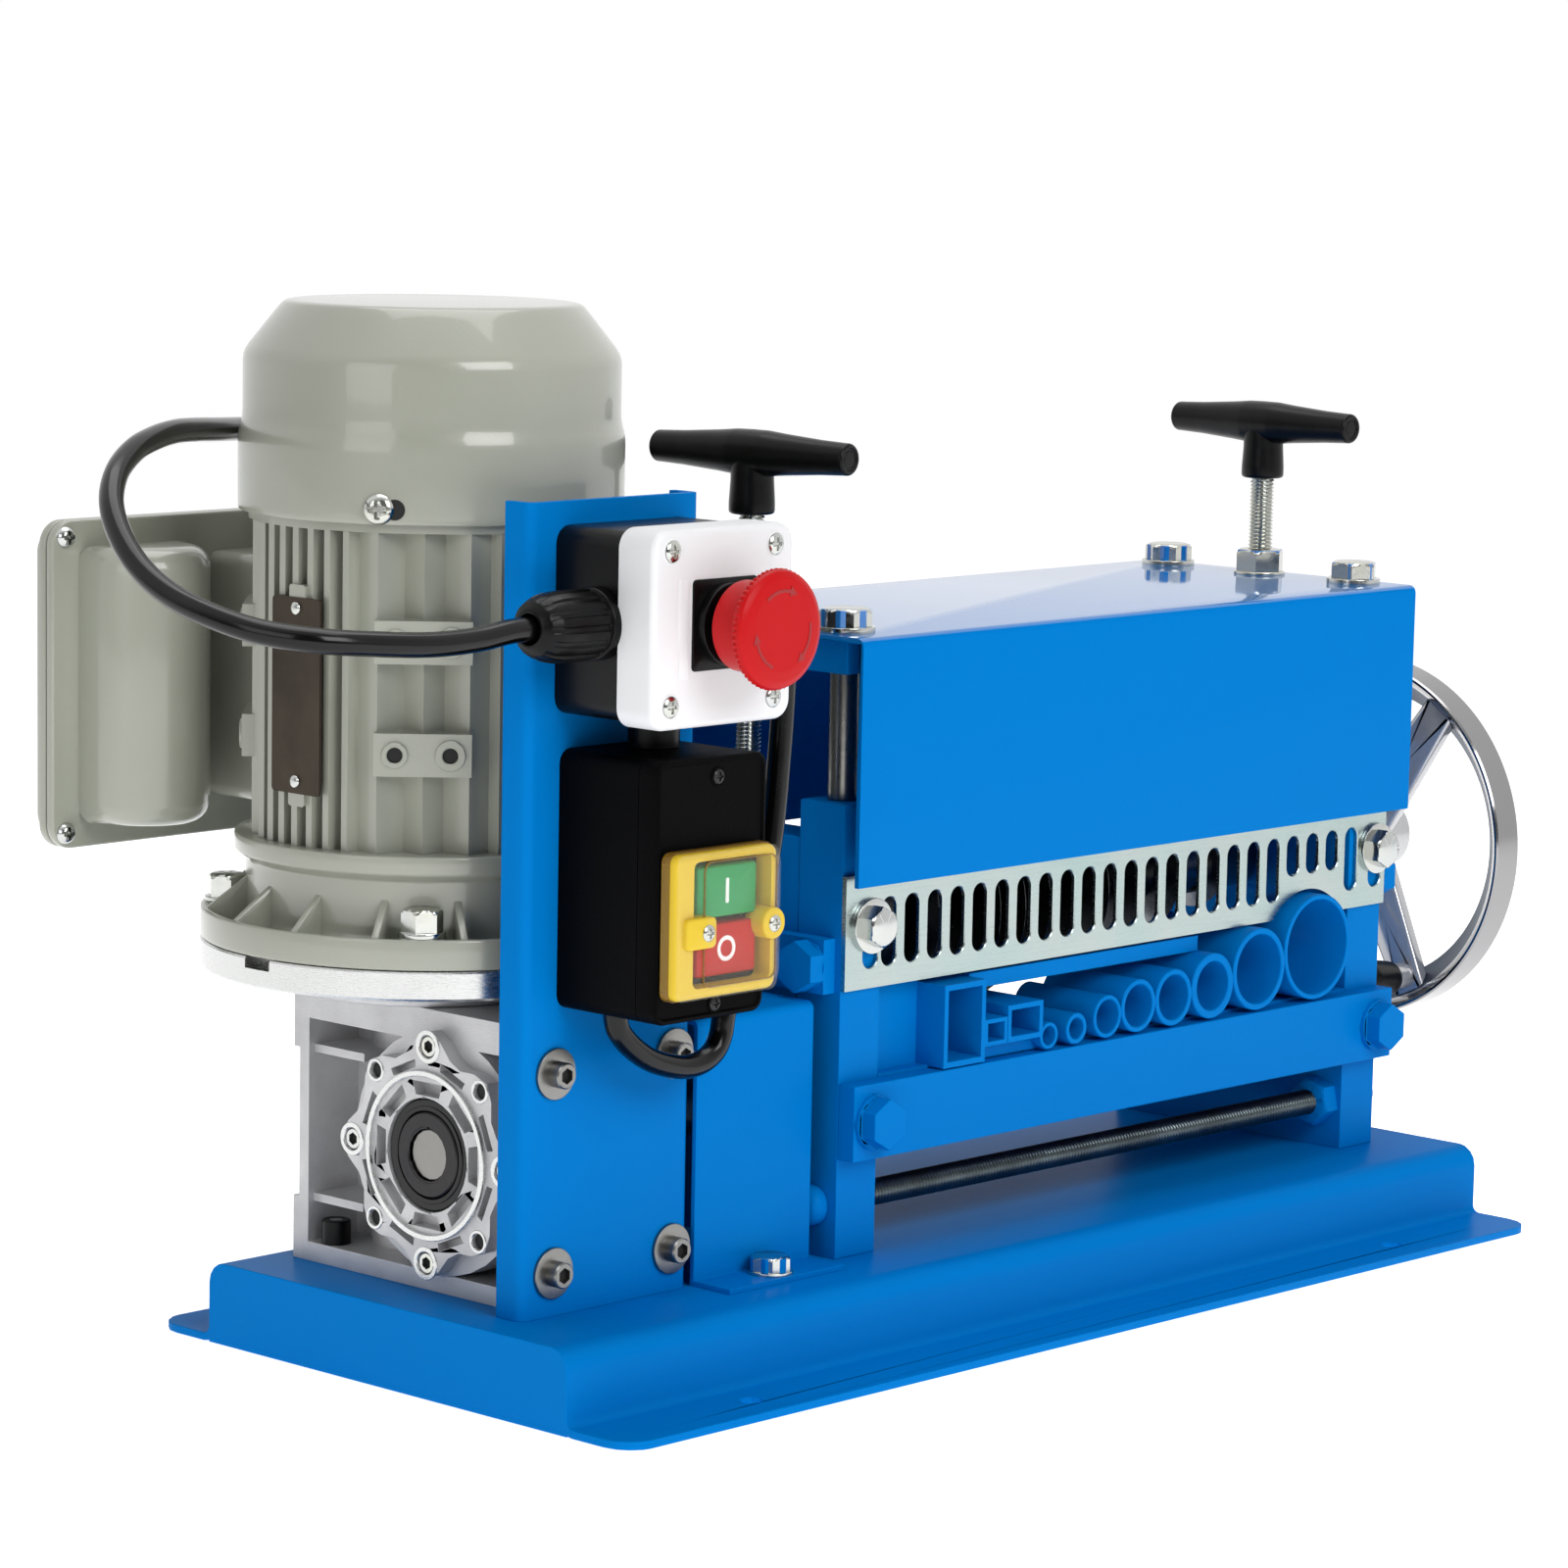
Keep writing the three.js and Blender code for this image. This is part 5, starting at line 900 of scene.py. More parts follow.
lugs = [((0, across, z), big) for z in (222, 261) for across, big in ((-9.6, 4.6), (9.6, 5.4))]
corners = [45 + 90 * k for k in range(4)]
motor_detail("lug_bosses", "motor_paint", corners,
             [(ring(big, 2.7, 64.5, 66.6, 40, 0.35), move) for move, big in lugs])
# Painted shade: a near-black disc in each boss's hole stands for the shade deep inside it.
motor_detail("lug_hole_shade", "painted_hole_shade", corners,
             [(turned([(0, 65), (2.75, 65), (2.75, 65.7), (0, 65.7)], 24), move)
              for move, _ in lugs])
motor_detail("fan_cover_screws", "zinc", (-148.3, -28.3, 91.7),
             [(cross_screw(5.4, 2.6, 10), (68.2, 0, 306.8))])
# Painted shade: near-black discs beside the screws stand for the shade in the cover's keyholes.
motor_detail("keyhole_shade", "painted_hole_shade", (-143.6, -23.6, 96.4),
             [(turned([(0, -1), (3.6, -1), (3.6, 0.25), (0, 0.25)], 32, ease=0.1),
               (68.3, 0, 306.8))])
s = Shape()
for degrees in (45, 133.5, 225.5, 315):
    a = math.radians(degrees)
    place = MOTOR + (71.5 * math.cos(a), 71.5 * math.sin(a), 160.2)
    s.extend(turned([(8.6, -6.4), (8.6, -0.2), (0, -0.2)], 40), place)
    s.extend(hex_bolt(13, 8, 8.3, 1.6, degrees + 14), place)
made("bell_bolts", s, "zinc", "machine", "motor_paint")
print("motor frame dressed")

# %% [markdown]
# The nameplate is a thin bronze-coloured sheet, bare here, with two rivets through it and two
# painted tabs of the frame that show above and below. It is a slab with eased edges, a
# millimetre thick, because a picture on a flat face would catch no light at its edge.

# %% Nameplate
PLATE_X, RIVET_X = -4.9, -5.8
plate = slab(rounded_rect(120.3, 206, 144.5, 274, 1.2, 4) * [-1, 1],
             plate_profile(0, 1.0, 0.3, 2))
made("nameplate", placed(plate, (PLATE_X, 0, 0), "left"), "bronze_plate", "machine", "motor_paint")
rivets, tabs = Shape(), Shape()
for z in (210, 270.5):
    rivets.extend(turned([(0, 0), (2.4, 0), (2.2, 0.9), (1.2, 1.3), (0, 1.4)], 32, ease=0.4),
                  (RIVET_X, 132.4, z), "left")
for z in (201.5, 273):
    tabs.extend(slab(rounded_rect(128.6, z, 136.2, z + 5.4, 0.8, 3) * [-1, 1],
                     plate_profile(-2, 0.6, 0.3, 2)), (PLATE_X, 0, 0), "left")
made("nameplate_rivets", rivets, "zinc", "machine", "motor_paint")
made("nameplate_tabs", tabs, "motor_paint", "machine", "motor_paint")
print("nameplate made")

# %% [markdown]
# The terminal box is pressed sheet: a flat rim, a neck to the motor and two pillow-shaped bulges.
# A subdivided cage could give such soft forms, but it swells away from its sizes. So each bulge
# is a D outline carried up with a large radius at top and bottom. A thin gasket shows between the
# rim and the lid.

# %% Terminal box
BULGE = 23


def front_outline(node, radius, inset=0.0, steps=8):
    """A CAD node's box from the front as a rounded rectangle, drawn in by an inset."""
    (x0, _, z0), (x1, _, z1) = box(node)
    return rounded_rect(x0 + inset, z0 + inset, x1 - inset, z1 - inset, radius, steps)


rim_outline = front_outline("terminal_lid", 9, steps=10)
body = placed(slab(rim_outline, plate_profile(-236.8, -233, 1.0)), facing="front")
for middle in (3, 116):
    a = np.linspace(np.pi, 2 * np.pi, 33)
    bulge = np.column_stack([middle + BULGE * np.cos(a), 223 + BULGE * np.sin(a)])
    bulge = np.vstack([bulge, [(middle + BULGE, 234), (middle - BULGE, 234)]])
    body.extend(slab(bulge, plate_profile(185.4, 285.4, 8, 6)))
body.extend(slab(rounded_rect(40, 190.4, 94.5, 280.4, 5, 6), plate_profile(-234, -198.9, 2)),
            facing="front")
body.extend(ring(9, 5.3, 280.2, 291.4, 48, 0.8), (85, 218, 0))
body.extend(ring(9, 5.3, -206, -186, 48, 0.8), (134, 0, 270.4), "front")
made("terminal_box_pressing", body, "motor_paint", "machine", "motor_paint", ["terminal_box"])
gasket = slab(front_outline("terminal_lid", 8.4, 0.8, 10),
              [(None, -237.3), (0, -237.3), (0, -236.6), (None, -236.6)])
made("terminal_gasket", placed(gasket, facing="front"), "rubber", "machine", "motor_paint")
lid = placed(slab(rim_outline, plate_profile(-241, -237.2, 0.9)), facing="front")
lid.extend(slab(front_outline("terminal_lid", 9, 3, 10), plate_profile(-246.9, -240, 2.5, 4)),
           facing="front")
made("terminal_lid_pressing", lid, "motor_paint", "machine", "motor_paint", ["terminal_lid"])
s = Shape()
for x in (-26.2, 145.2):
    for z in (182.2, 288.6):
        s.extend(cross_screw(3.9, 3.0, x), (x, 233.1, z), "front")
made("terminal_screws", s, "zinc", "machine", "motor_paint")
print("terminal box dressed")

# %% [markdown]
# The gearbox is a pressure casting. Its output cover keeps the CAD model's lobes and pockets. The
# pilot ring and the screw seats are machined bright on the real one. A mask could follow them,
# but rings of their own, a little proud, also give the step that is seen. The hollow output shaft
# is blackened and shows the machine's own shaft inside.

# %% Gearbox
COVER_FACE = box("left_output_cover")[0][0]
SEAL_FACE = box("output_seal")[0][0]
SLEEVE_FACE = box("output_sleeve")[0][0]
LOBES = 8

for node, finish, width in (("gearbox_housing", "cast_aluminium", 0.8),
                            ("left_output_cover", "cast_aluminium", 0.4),
                            ("output_sleeve", "dark_steel", 0.3), ("lower_shaft", "steel", 0.5)):
    skin(node, finish, width)


def on_left(shape, x, y=0.0, z=0.0):
    """A shape turned to face left, at x on the output shaft's axis, moved off it by y and z."""
    return placed(shape, FEED + (x, y, z), "left")


# Painted shade: near-black discs fill the open holes and lie at the bottom of each screw's socket.
seats, heads, hollow = Shape(), Shape(), Shape()
for k in range(LOBES):
    a = 2 * np.pi * k / LOBES
    reach = 37.5 if k % 2 else 38.6
    y, z = reach * math.cos(a), reach * math.sin(a)
    if k % 2:
        seats.extend(on_left(ring(4.2, 2.95, -0.4, 0.35, 40, 0.2), COVER_FACE + 1.5, y, z))
        hole = turned([(0, -3), (2.9, -3), (2.9, -1.2), (0, -1.2)], 24)
        hollow.extend(on_left(hole, COVER_FACE + 1.5, y, z))
    else:
        seats.extend(on_left(ring(6.0, 4.15, -0.4, 0.35, 48, 0.2), COVER_FACE + 1.5, y, z))
        heads.extend(on_left(socket_screw(3.9, 4.2, 4.0), COVER_FACE + 6, y, z))
        hole = turned([(0, 2.2), (2.4, 2.2), (2.4, 2.4), (0, 2.4)], 24)
        hollow.extend(on_left(hole, COVER_FACE + 6, y, z))
seats.extend(on_left(ring(30.15, 28.1, -2.1, 0.1, 96, 0.25), COVER_FACE))
made("machined_seats", seats, "machined_aluminium", "machine", "cast_aluminium")
made("cover_screws", heads, "zinc", "machine", "cast_aluminium")
made("tapped_hole_shade", hollow, "painted_hole_shade", "machine", "cast_aluminium")
made("gearbox_foot_screw", placed(socket_screw(5.3, 8.7, 5.0), (32.5, 152, 37)), "black_plastic",
     "machine", "cast_aluminium")
seal = on_left(ring(20.2, 15.4, -5, 0, 96, 0.8), SEAL_FACE)
seal.extend(on_left(ring(17.4, 15.6, -0.4, 0.4, 96, 0.2), SEAL_FACE))
made("shaft_seal", seal, "rubber", "machine", "rubber", ["output_seal"])
made("sleeve_mouth", on_left(ring(15.1, 9.6, -1, 0.2, 96, 0.5), SLEEVE_FACE), "dark_steel",
     "feed_assembly", "dark_steel")
print("gearbox dressed")

# %% [markdown]
# Feed roller, grip roller, gears and knife discs sit behind the tubes and under the hood, where
# little light reaches them. So the rollers are plain barrels whose knurl is only in their
# material's bump, the gears keep their CAD teeth, and sleeves and discs are one turned profile
# with a sharp bevelled disc over each tube.

# %% Working parts
ROLLERS_LEFT, ROLLERS_RIGHT, BORE, SLEEVE = 213, 467, 10.4, 13
for node in ("lower_gear", "upper_gear", "blade_shaft"):
    skin(node, "steel", 0.3)
roller = ring(18, BORE, ROLLERS_LEFT, ROLLERS_RIGHT, 96, 0.8)
made("feed_roller_barrel", placed(roller, FEED, "right"), "knurled_steel", "feed_assembly",
     "dark_steel", ["feed_roller"])
roller = ring(26, BORE, ROLLERS_LEFT, 240, 128, 1.5)
made("grip_roller_barrel", placed(roller, BLADES, "right"), "knurled_steel", "blade_assembly",
     "dark_steel", ["grip_roller"])


def blade_profile():
    """Sleeves, with a disc over each tube that reaches down into its upper third."""
    profile = [(BORE, 241), (SLEEVE, 241)]
    for x, size in [(246.45, 15.5), (263, 19.5)] + [(x, d) for x, d, _ in SMALL_TUBES + tubes]:
        r = BLADES[2] - (SHELF + size * 0.7)
        profile += [(SLEEVE, x - 2.4), (SLEEVE, x - 1.6), (r, x - 0.1), (r, x + 0.1),
                    (SLEEVE, x + 1.6), (SLEEVE, x + 2.4)]
    return profile + [(SLEEVE, ROLLERS_RIGHT), (BORE, ROLLERS_RIGHT), (BORE, 241)]


discs = placed(Shape().add(turned_grid(blade_profile())), BLADES, "right")
made("blade_discs", discs, "blade_steel", "blade_assembly", "steel", ["blade_set"], sharp=20.0)
print("working parts dressed")

# %% [markdown]
# A threaded rod ties the side frames together below the rollers. The thread between them is bare
# and oily, while the domed nuts outside were sprayed with the frame. One piece could carry both
# by a mask, but the thread is so fine that two pieces are simpler.

# %% Tie rod
TIE = np.array([0, 44.25, 49])
rod = threaded(5.0, FRAMES_LEFT, FRAMES_RIGHT, 1.75, 0.8, 32)
made("tie_rod_thread", placed(rod, TIE, "right"), "oiled_steel", "machine", "dark_steel",
     ["tie_rod"])
domes = Shape()
for low, facing in ((FRAMES_RIGHT, "right"), (-FRAMES_LEFT, "left")):
    domes.extend(turned([(0, low), (7.5, low), (7.5, low + 5), (5, low + 7.5), (0, low + 7.5)], 48,
                        ease=1.5), TIE, facing)
made("tie_rod_domes", domes, "blue_paint", "machine", "dark_steel")
nut = placed(hex_bolt(17, 8, twist=12), TIE + (box("right_side_frame")[0][0], 0, 0), "left")
made("tie_rod_nut", nut, "blue_paint", "machine", "dark_steel")
print("tie rod dressed")

# %% [markdown]
# A T handle is moulded on its screw: a barrel bar, thick in the middle and tapering to flat ends
# with a small ring, on a short round hub. Bar and hub are turned profiles that run through each
# other, since a Boolean joint wouldn't show in black plastic. The left one stands turned by six
# degrees.

# %% Pressure screws and T handles
BAR_HEIGHT = 319.5


def tee(side, twist):
    """Half a bar's profile and its mirror image, a hub under it, and the threaded rod."""
    centre = SCREWS[side] + (0, 0, BAR_HEIGHT)
    bar = [(0, -44), (3.0, -44), (3.2, -43.7), (4.0, -43.7), (4.2, -44.4), (5.2, -44.4),
           (5.9, -43.6), (5.9, -42.4), (6.4, -31), (7.6, -15), (8.4, -7), (8.5, 0)]
    bar += [(r, -h) for r, h in bar[:-1]][::-1]
    hub = [(5.4, -22.4), (7.6, -22.4), (8.5, -21.6), (8.5, -18), (8.0, -10), (8.0, 0), (0, 0)]
    s = placed(turned(bar, 72), centre, "front")
    s.extend(turned(hub, 72, ease=0.8), centre).spun((0, 0, 1), centre, twist)
    made(side + "_handle", s, "black_plastic", side + "_screw", "black_plastic",
         [side + "_tee_handle"], sharp=50.0)
    rod = placed(threaded(5.0, 174, 314.7, 1.5, 0.8, 48), SCREWS[side])
    rod.extend(turned([(0, 173.5), (8, 173.5), (8, 178.7), (0, 178.7)], 48), SCREWS[side])
    made(side + "_thread", rod, "zinc", side + "_screw", "zinc", [side + "_pressure_screw"])


tee("left", 6)
tee("right", 0)
print("screws and handles dressed")

# %% [markdown]
# The handwheel is an aluminium casting: a rim with a coned inner face, three tapered spokes and a
# hub, carried on the blade shaft, with a loose grip on a fixed pin. Rim, hub and pin are turned
# profiles and a spoke is a slab, spun three times. They run into each other instead of being
# joined, because a bright rim would show the creases that a Boolean leaves.

# %% Handwheel
WHEEL_TURN, PIN_RADIUS, SPOKES = 244.8, 62, 3

rim = [(75, 547.8), (75, 561.2), (74.2, 562), (61.6, 562), (61, 561), (69.4, CONE_START),
       (70.3, 550), (73.4, 547), (74.4, 547), (75, 547.8)]
wheel = Shape().add(turned_grid(rim, 192))
hub = [(8.3, 541), (14, 541), (15, 542), (15, 568), (14, 569), (8.3, 569)]
wheel.extend(turned(hub, 72, ease=0.5))
spoke_outline = eased([(4, -11), (71, -7.6), (71, 7.6), (4, 11), (4, -11)], 1.0, 2)[:-1]
for k in range(SPOKES):
    arm = placed(slab(spoke_outline, plate_profile(551.2, 557.8, 2.2)))
    wheel.extend(arm.spun((0, 0, 1), (0, 0, 0), 360 / SPOKES * k))
wheel.extend(turned([(0, 504.9), (3.4, 504.9), (3.4, 543), (5.5, 543), (5.5, 551), (0, 551)],
                    32, ease=0.3), (PIN_RADIUS, 0, 0))
wheel = placed(wheel, BLADES, "right").spun((1, 0, 0), BLADES, WHEEL_TURN)
made("handwheel_casting", wheel, "polished_aluminium", "blade_assembly", "cast_aluminium",
     ["handwheel"])
grip = turned([(3.9, 508.7), (7.6, 508.7), (8.6, 510), (9.5, 525), (7.2, 540), (6.5, 542.6),
               (3.9, 542.6)], 64, ease=1.0)
grip = placed(placed(grip, (PIN_RADIUS, 0, 0)), BLADES, "right")
made("grip_moulding", grip.spun((1, 0, 0), BLADES, WHEEL_TURN), "black_plastic", "grip",
     "black_plastic", ["wheel_grip"])
print("handwheel dressed")

# %% [markdown]
# The emergency stop sits in a two-part box: black base, white lid with a recess in each corner
# for a screw. The plunger runs free in a round opening of the lid. A Boolean would cut it, but the
# lid's face would shade unevenly, so `framed` carries a profile over the whole plate, from the
# opening's edge to the outside. The gland's nut is fluted by a ripple in its radius.

# %% Emergency stop's box
OPENING = 10.3


def framed(outer, inner, low, high, ease=0.8, steps=3, drop=0.0, rim=0.0):
    """A plate with an opening: rows run up the opening, over the face and down the outside."""
    o, i = np.asarray(outer, float), np.asarray(inner, float)
    n = outline_normals(o)
    a = np.linspace(np.pi / 2, 0, steps + 1)
    rows = [(i, low), (i, high - drop)]
    if drop:
        rows += [(o - n * (rim + drop), high - drop), (o - n * rim, high)]
    rows += [(o + n * ease * (math.cos(x) - 1), high + ease * (math.sin(x) - 1)) for x in a]
    return Shape().add(lifted(rows + [(o, low)]), along=True)


def round_opening(outer, radius):
    """A circle round the stop's axis with a point in line with each point of the outline."""
    centre = STOP[[0, 2]]
    d = np.asarray(outer, float) - centre
    return centre + radius * d / np.linalg.norm(d, axis=1, keepdims=True)


def fluted(t, h, r):
    """Fourteen flutes on the nut, 0.8 mm deep, none on the collar."""
    on_nut = np.clip((r - 9) / 3, 0, 1) * (h > 5.5)
    return -0.8 * on_nut * np.clip(np.cos(t * 14) * 1.6, 0, 1)


skin("estop_base", "black_plastic", 0.8)
gland = [(5.2, -1.5), (5.2, 0), (12.5, 0), (12.5, 4.5), (11.2, 4.8), (12.2, 6), (12.2, 19),
         (12, 23), (11.2, 27), (9.4, 30.8), (6.6, 32.9), (5.2, 32.9), (5.2, 26)]
s = placed(turned(gland, 224, fluted, 0.7), (28, 18, 273), "left")
made("cable_gland", s, "black_plastic", "machine", "black_plastic", ["estop_gland"])
lid = front_outline("estop_lid", 7, steps=10)
s = framed(lid, round_opening(lid, OPENING), -7.4, 9.2, 2.4, 5)
made("stop_lid", placed(s, facing="front"), "white_plastic", "machine", "white_plastic",
     ["estop_lid"])
screws, rims = Shape(), Shape()
for x in (35.3, 85.2):
    for z in (246.6, 298.8):
        screws.extend(cross_screw(3.6, 1.2, x + z), (x, -9.3, z), "front")
        rims.extend(ring(4.5, 3.7, 9.0, 9.45, 48, 0.2), (x, 0, z), "front")
rims.extend(slab(rounded_rect(38.8, 255.5, 43.6, 289.5, 0.5, 3),
                 plate_profile(9.1, 9.45, 0.15, 2)), facing="front")
made("stop_lid_screws", screws, "zinc", "machine", "white_plastic")
made("stop_lid_rims", rims, "white_plastic", "machine", "white_plastic")
print("stop's box dressed")

# %% [markdown]
# The mushroom is a red cap, knurled round its edge so that a gloved hand can twist it, with three
# raised turning arrows. It rides the joint that twists, and the plunger the one that pushes. A
# bump could give the knurl, but it wouldn't show in the cap's outline, so it is a cosine in the
# radius. Each arrow is a thin band that widens to a head, since a picture couldn't stand proud.

# %% Emergency stop's collar and mushroom
INSERT = 15.5


def knurled(t, h, r):
    """A cosine knurl of 60 teeth on the cap's side."""
    return 0.3 * np.cos(t * 60) * (r > 19.6) * (h < 34)


def arrow(start):
    """A band 1.1 mm wide along an arc of 66 degrees, 3.6 mm at the head, a point at the end."""
    middle, sweep, low, high = 13.2, -66.0, 36.7, 36.98
    share = np.array([0, 0.2, 0.4, 0.6, 0.78, 0.7801, 0.9, 1.0])
    half = np.array([0.55, 0.55, 0.55, 0.55, 0.55, 1.8, 0.8, 0.02])
    a = np.radians(start + sweep * share)
    corners = ((-half, low), (-half, high), (half, high), (half, low))
    return Shape().add(np.stack([polar(middle + off, a, h) for off, h in corners]),
                       around=False, along=True)


x, z = STOP[[0, 2]]
insert = rounded_rect(x - INSERT, z - INSERT, x + INSERT, z + INSERT, 1.5, 3)
s = placed(framed(insert, round_opening(insert, 9.3), 6.6, 9.9, 0.3), facing="front")
s.extend(turned([(9.3, 6.5), (14, 6.5), (14, 13.4), (9.3, 13.4)], 72, ease=0.5), STOP, "front")
made("stop_collar", s, "black_plastic", "machine", "black_plastic", ["estop_collar"])
skin("estop_plunger", "black_plastic", 0.3)
cap = [(9.3, 17.9), (14.8, 17.9), (15.5, 18.6), (15.7, 30.6), (19.2, 31.6), (20.3, 32.4),
       (20.3, 34), (19.8, 35.3), (17.6, 36.45), (14, 36.82), (0, 36.82)]
made("stop_mushroom", placed(turned(cap, 480, knurled, 0.5), STOP, "front"), "red_plastic",
     "stop_mushroom", "red_plastic", ["estop_mushroom"], sharp=50.0)
s = Shape()
for k in range(3):
    s.extend(arrow(128 - 120 * k), STOP, "front")
made("turning_arrows", s, "arrow_red", "stop_mushroom", "red_plastic")
print("mushroom dressed")

# %% [markdown]
# The start and stop station is a black grained box with a raised lid rim and a yellow frame held
# by a lug on the left and a round ear on the right, with a green and a red key inside. A Boolean
# could cut the windows of lid and frame, but `framed` gives them as one even grid with nothing to
# clean up. Each key is a plain slab that ends short of the box's back, so that it can travel.

# %% Start and stop station
MIDDLE = 170
BORDER = (33, 147, 82.5, 197)

skin("station_box", "station_black", 0.8)
border = rounded_rect(*BORDER, 3.5)
s = placed(framed(border, rounded_rect(41.2, 150.8, 79.0, 194.2, 2.5), 8.6, 16.0, 2.4, 5),
           facing="front")
s.extend(slab(rounded_rect(36, MIDDLE - 5.4, 50.4, MIDDLE + 5.4, 2.2, 6),
              plate_profile(9.5, 18.4, 0.9)), facing="front")
s.extend(turned([(0, 8.6), (5.5, 8.6), (5.5, 18.4), (0, 18.4)], 64, ease=0.9),
         (78.5, 0, MIDDLE), "front")
made("switch_frame", s, "yellow_plastic", "machine", "yellow_plastic", ["station_frame"])
s = framed(front_outline("station_lid", 5), rounded_rect(45.5, 152.5, 76.5, 192.5, 0.6), -0.7, 8.5,
           1.2, 3, 0.7, 1.6)
made("station_lid_moulding", placed(s, facing="front"), "station_black", "machine",
     "black_plastic", ["station_lid"])
screws, wells, frame_screws = Shape(), Shape(), Shape()
for x, z in ((60.5, 221), (60.5, 143)):
    screws.extend(cross_screw(2.6, 0.9, x + z), (x, -8.0, z), "front")
    wells.extend(ring(3.6, 2.8, 7.4, 8.2, 40, 0.2), (x, 0, z), "front")
for x in (46.2, 78.5):
    frame_screws.extend(cross_screw(2.9, 1.1, 30 + x), (x, -18.4, MIDDLE), "front")
made("lid_screws", screws, "dark_steel", "machine", "black_plastic")
made("screw_wells", wells, "station_black", "machine", "black_plastic")
made("frame_screws", frame_screws, "zinc", "machine", "yellow_plastic")


def key(name, low, high, finish, body, node):
    """A slab with eased edges from behind the lid to just below the frame's face."""
    s = slab(rounded_rect(46.5, low, 75.5, high, 1.4, 5), plate_profile(-4.5, 12.5, 0.9))
    made(name, placed(s, facing="front"), finish, body, finish, [node])


key("start_key", 173.6, 191.4, "green_plastic", "green_button", "start_button")
key("stop_key", 153.5, 171.4, "red_plastic", "red_button", "stop_button")
s = slab(rounded_rect(60.2, 178.2, 61.8, 186.8, 0.4, 2), plate_profile(12.4, 12.65, 0.1, 1))
made("start_symbol", placed(s, facing="front"), "lettering_white", "green_button",
     "green_plastic")
s = placed(ring(4.4, 2.9, 12.4, 12.65, 64, 0.08), (61, 0, 162.6), "front")
made("stop_symbol", s, "lettering_white", "red_button", "red_plastic")
print("station dressed")

# %% [markdown]
# A soft clear membrane keeps dust off the keys. It covers the whole yellow frame, with a raised
# pan over the window. A subdivided sheet would droop and crease for nothing here, so it is a thin
# plate with the pan as a slab, and two thin brown lips stand where the real one is seen edge on.

# %% Clear membrane
PAN = (45.2, 150.9, 81.0, 194.1)

pan = rounded_rect(*PAN, 3)
s = placed(slab(pan, plate_profile(16.5, 19.0, 0.8)), facing="front")
s.extend(framed(border, pan, 16.05, 16.45, 0.2, 2), facing="front")
made("cover_membrane", s, "clear_plastic", "machine", "clear_plastic", ["station_cover"])
lips = Shape()
for (x0, z0, x1, z1), spread, low, high in ((BORDER, 0.5, 9, 12.6), (PAN, 0.0, 16.5, 17.2)):
    outer, inner = (rounded_rect(x0 - by, z0 - by, x1 + by, z1 + by, radius)
                    for by, radius in ((spread, 3.4), (spread - 0.5, 3)))
    lips.extend(framed(outer, inner, low, high, 0.2), facing="front")
made("cover_lips", lips, "cover_edge", "machine", "clear_plastic")
print("membrane made")

# %% [markdown]
# Socket screws with wide washers hold the switch bracket to the gearbox. A dark disc of painted
# shade lies at the bottom of each socket, since the light of the studio would reach into so
# shallow a hole and a real one is deeper. A mask in the steel could darken it too, but a disc is
# the shorter way.

# %% Bracket screws
BRACKET_FACE = box("switch_bracket")[0][1]
s, dark = Shape(), Shape()
for x in (30.5, 88.6):
    for z in (45.5, 115.5):
        place = (x, BRACKET_FACE, z)
        s.extend(turned([(0, -0.2), (9, -0.2), (9, 1.5), (4, 1.5), (0, 1.5)], 64, ease=0.3),
                 place, "front")
        s.extend(socket_screw(4.6, 6.4, 5.0), place, "front")
        # Painted shade at the bottom of each socket.
        dark.extend(turned([(0, 4.3), (3, 4.3), (3, 4.5), (0, 4.5)], 24), place, "front")
made("bracket_screws", s, "steel", "machine", "blue_paint")
made("bracket_socket_shade", dark, "painted_hole_shade", "machine", "blue_paint")
print("bracket screws made")

# %% [markdown]
# The machine stands in a white seamless studio. A white backdrop and more lamps would wash out
# the blue, so the world answers each kind of ray by itself: the camera sees plain white, diffuse
# rays get a faint fill, and mirrored rays find white above and behind, and darker in front, where
# the camera stands, with one soft box to the right of it. So paint keeps its colour, and metal
# its contrast.

# %% World
world = bpy.data.worlds.new("studio")
scene.world = world
world.use_nodes = True
tree = world.node_tree
tree.nodes.clear()
seen, passed, mirrored = (add_node(tree, "ShaderNodeLightPath", "Is %s Ray" % kind)
                          for kind in ("Camera", "Transmission", "Glossy"))
looking = add_node(tree, "ShaderNodeTexCoord", "Generated")
dx, dy, dz = (add_node(tree, "ShaderNodeSeparateXYZ", k, sockets={0: looking}) for k in range(3))


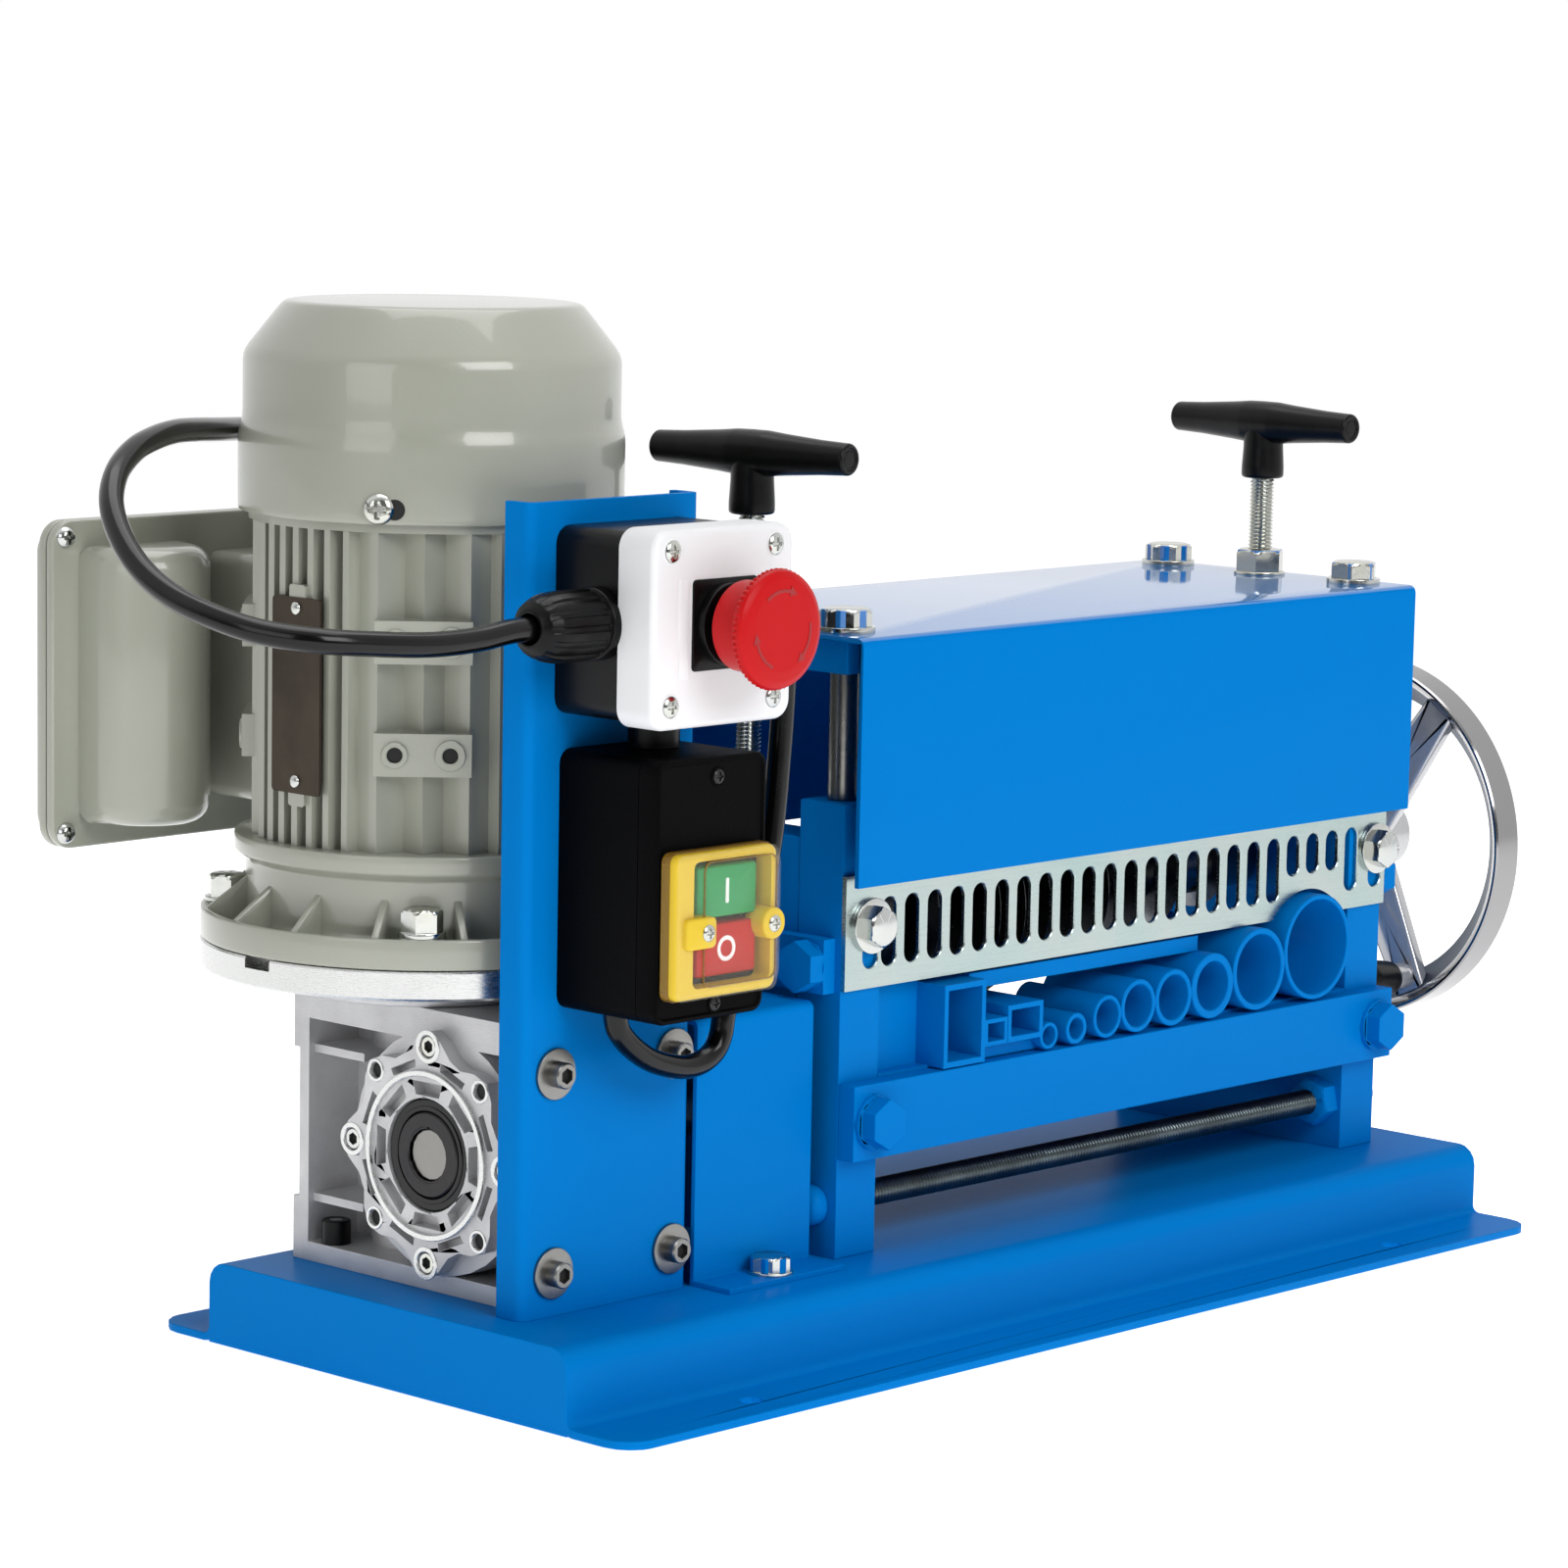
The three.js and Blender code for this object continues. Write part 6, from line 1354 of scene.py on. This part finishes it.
def light(strength):
    """White light of a strength, from every direction or by direction."""
    return add_node(tree, "ShaderNodeBackground",
                    sockets={"Color": (1, 1, 1, 1), "Strength": strength})


def either(share, a, b):
    """The light a where the share is 0 and b where it is 1."""
    return add_node(tree, "ShaderNodeMixShader", sockets={0: share, 1: a, 2: b})


bright = ((dx * 0.45 + dy * 0.75 + dz * 0.85 + 0.15) * 1.6).held()
soft_box = ((dx * 0.73 - dy * 0.68 - 0.62) * 3.5).held()
mirror = bright * 0.86 + 0.14 + soft_box * (1.0 - bright) * 0.8
fill = either(mirrored, light(0.19), light(mirror))
surface = either((seen + passed).least(1.0), fill, light(1.0))
add_node(tree, "ShaderNodeOutputWorld", sockets={"Surface": surface})
print("world ready")

# %% [markdown]
# Three large lamps model the forms: a key from the front left, a weak one from the left and a top
# light. Small lamps would give hard shadows and hot spots on the enamel. The floor is white and
# glows a little, so that it meets the background without a line and still keeps the shadow.

# %% Lamps and floor
AIM = Vector((0.0, 0.1, 0.15))


def lamp(name, place, size, power):
    """A square lamp at a place, its face towards the machine's middle."""
    data = bpy.data.lights.new(name, "AREA")
    data.size, data.energy = size, power
    fitting = bpy.data.objects.new(name, data)
    scene.collection.objects.link(fitting)
    fitting.location = place
    fitting.rotation_mode = "QUATERNION"
    fitting.rotation_quaternion = (AIM - Vector(place)).to_track_quat("-Z", "Y")


lamp("key", (-0.5, -2.2, 1.6), 1.4, 37.5)
lamp("left", (-2.4, -0.2, 0.9), 1.2, 8)
lamp("top", (0.2, 0.3, 2.4), 1.8, 26)
FLOOR = -0.2
corners = [(-3000, -3000, FLOOR), (3500, -3000, FLOOR), (3500, 4000, FLOOR), (-3000, 4000, FLOOR)]
floor_paint = Finish("floor_white", (250, 250, 250), 0.9)
floor_paint.set("Emission Color", (1, 1, 1, 1))
floor_paint.set("Emission Strength", 0.74)
mesh = bpy.data.meshes.new("floor")
mesh.from_pydata(row(corners).tolist(), [], [(0, 1, 2, 3)])
mesh.materials.append(floor_paint.material)
floor = bpy.data.objects.new("floor", mesh)
scene.collection.objects.link(floor)
print("studio ready")
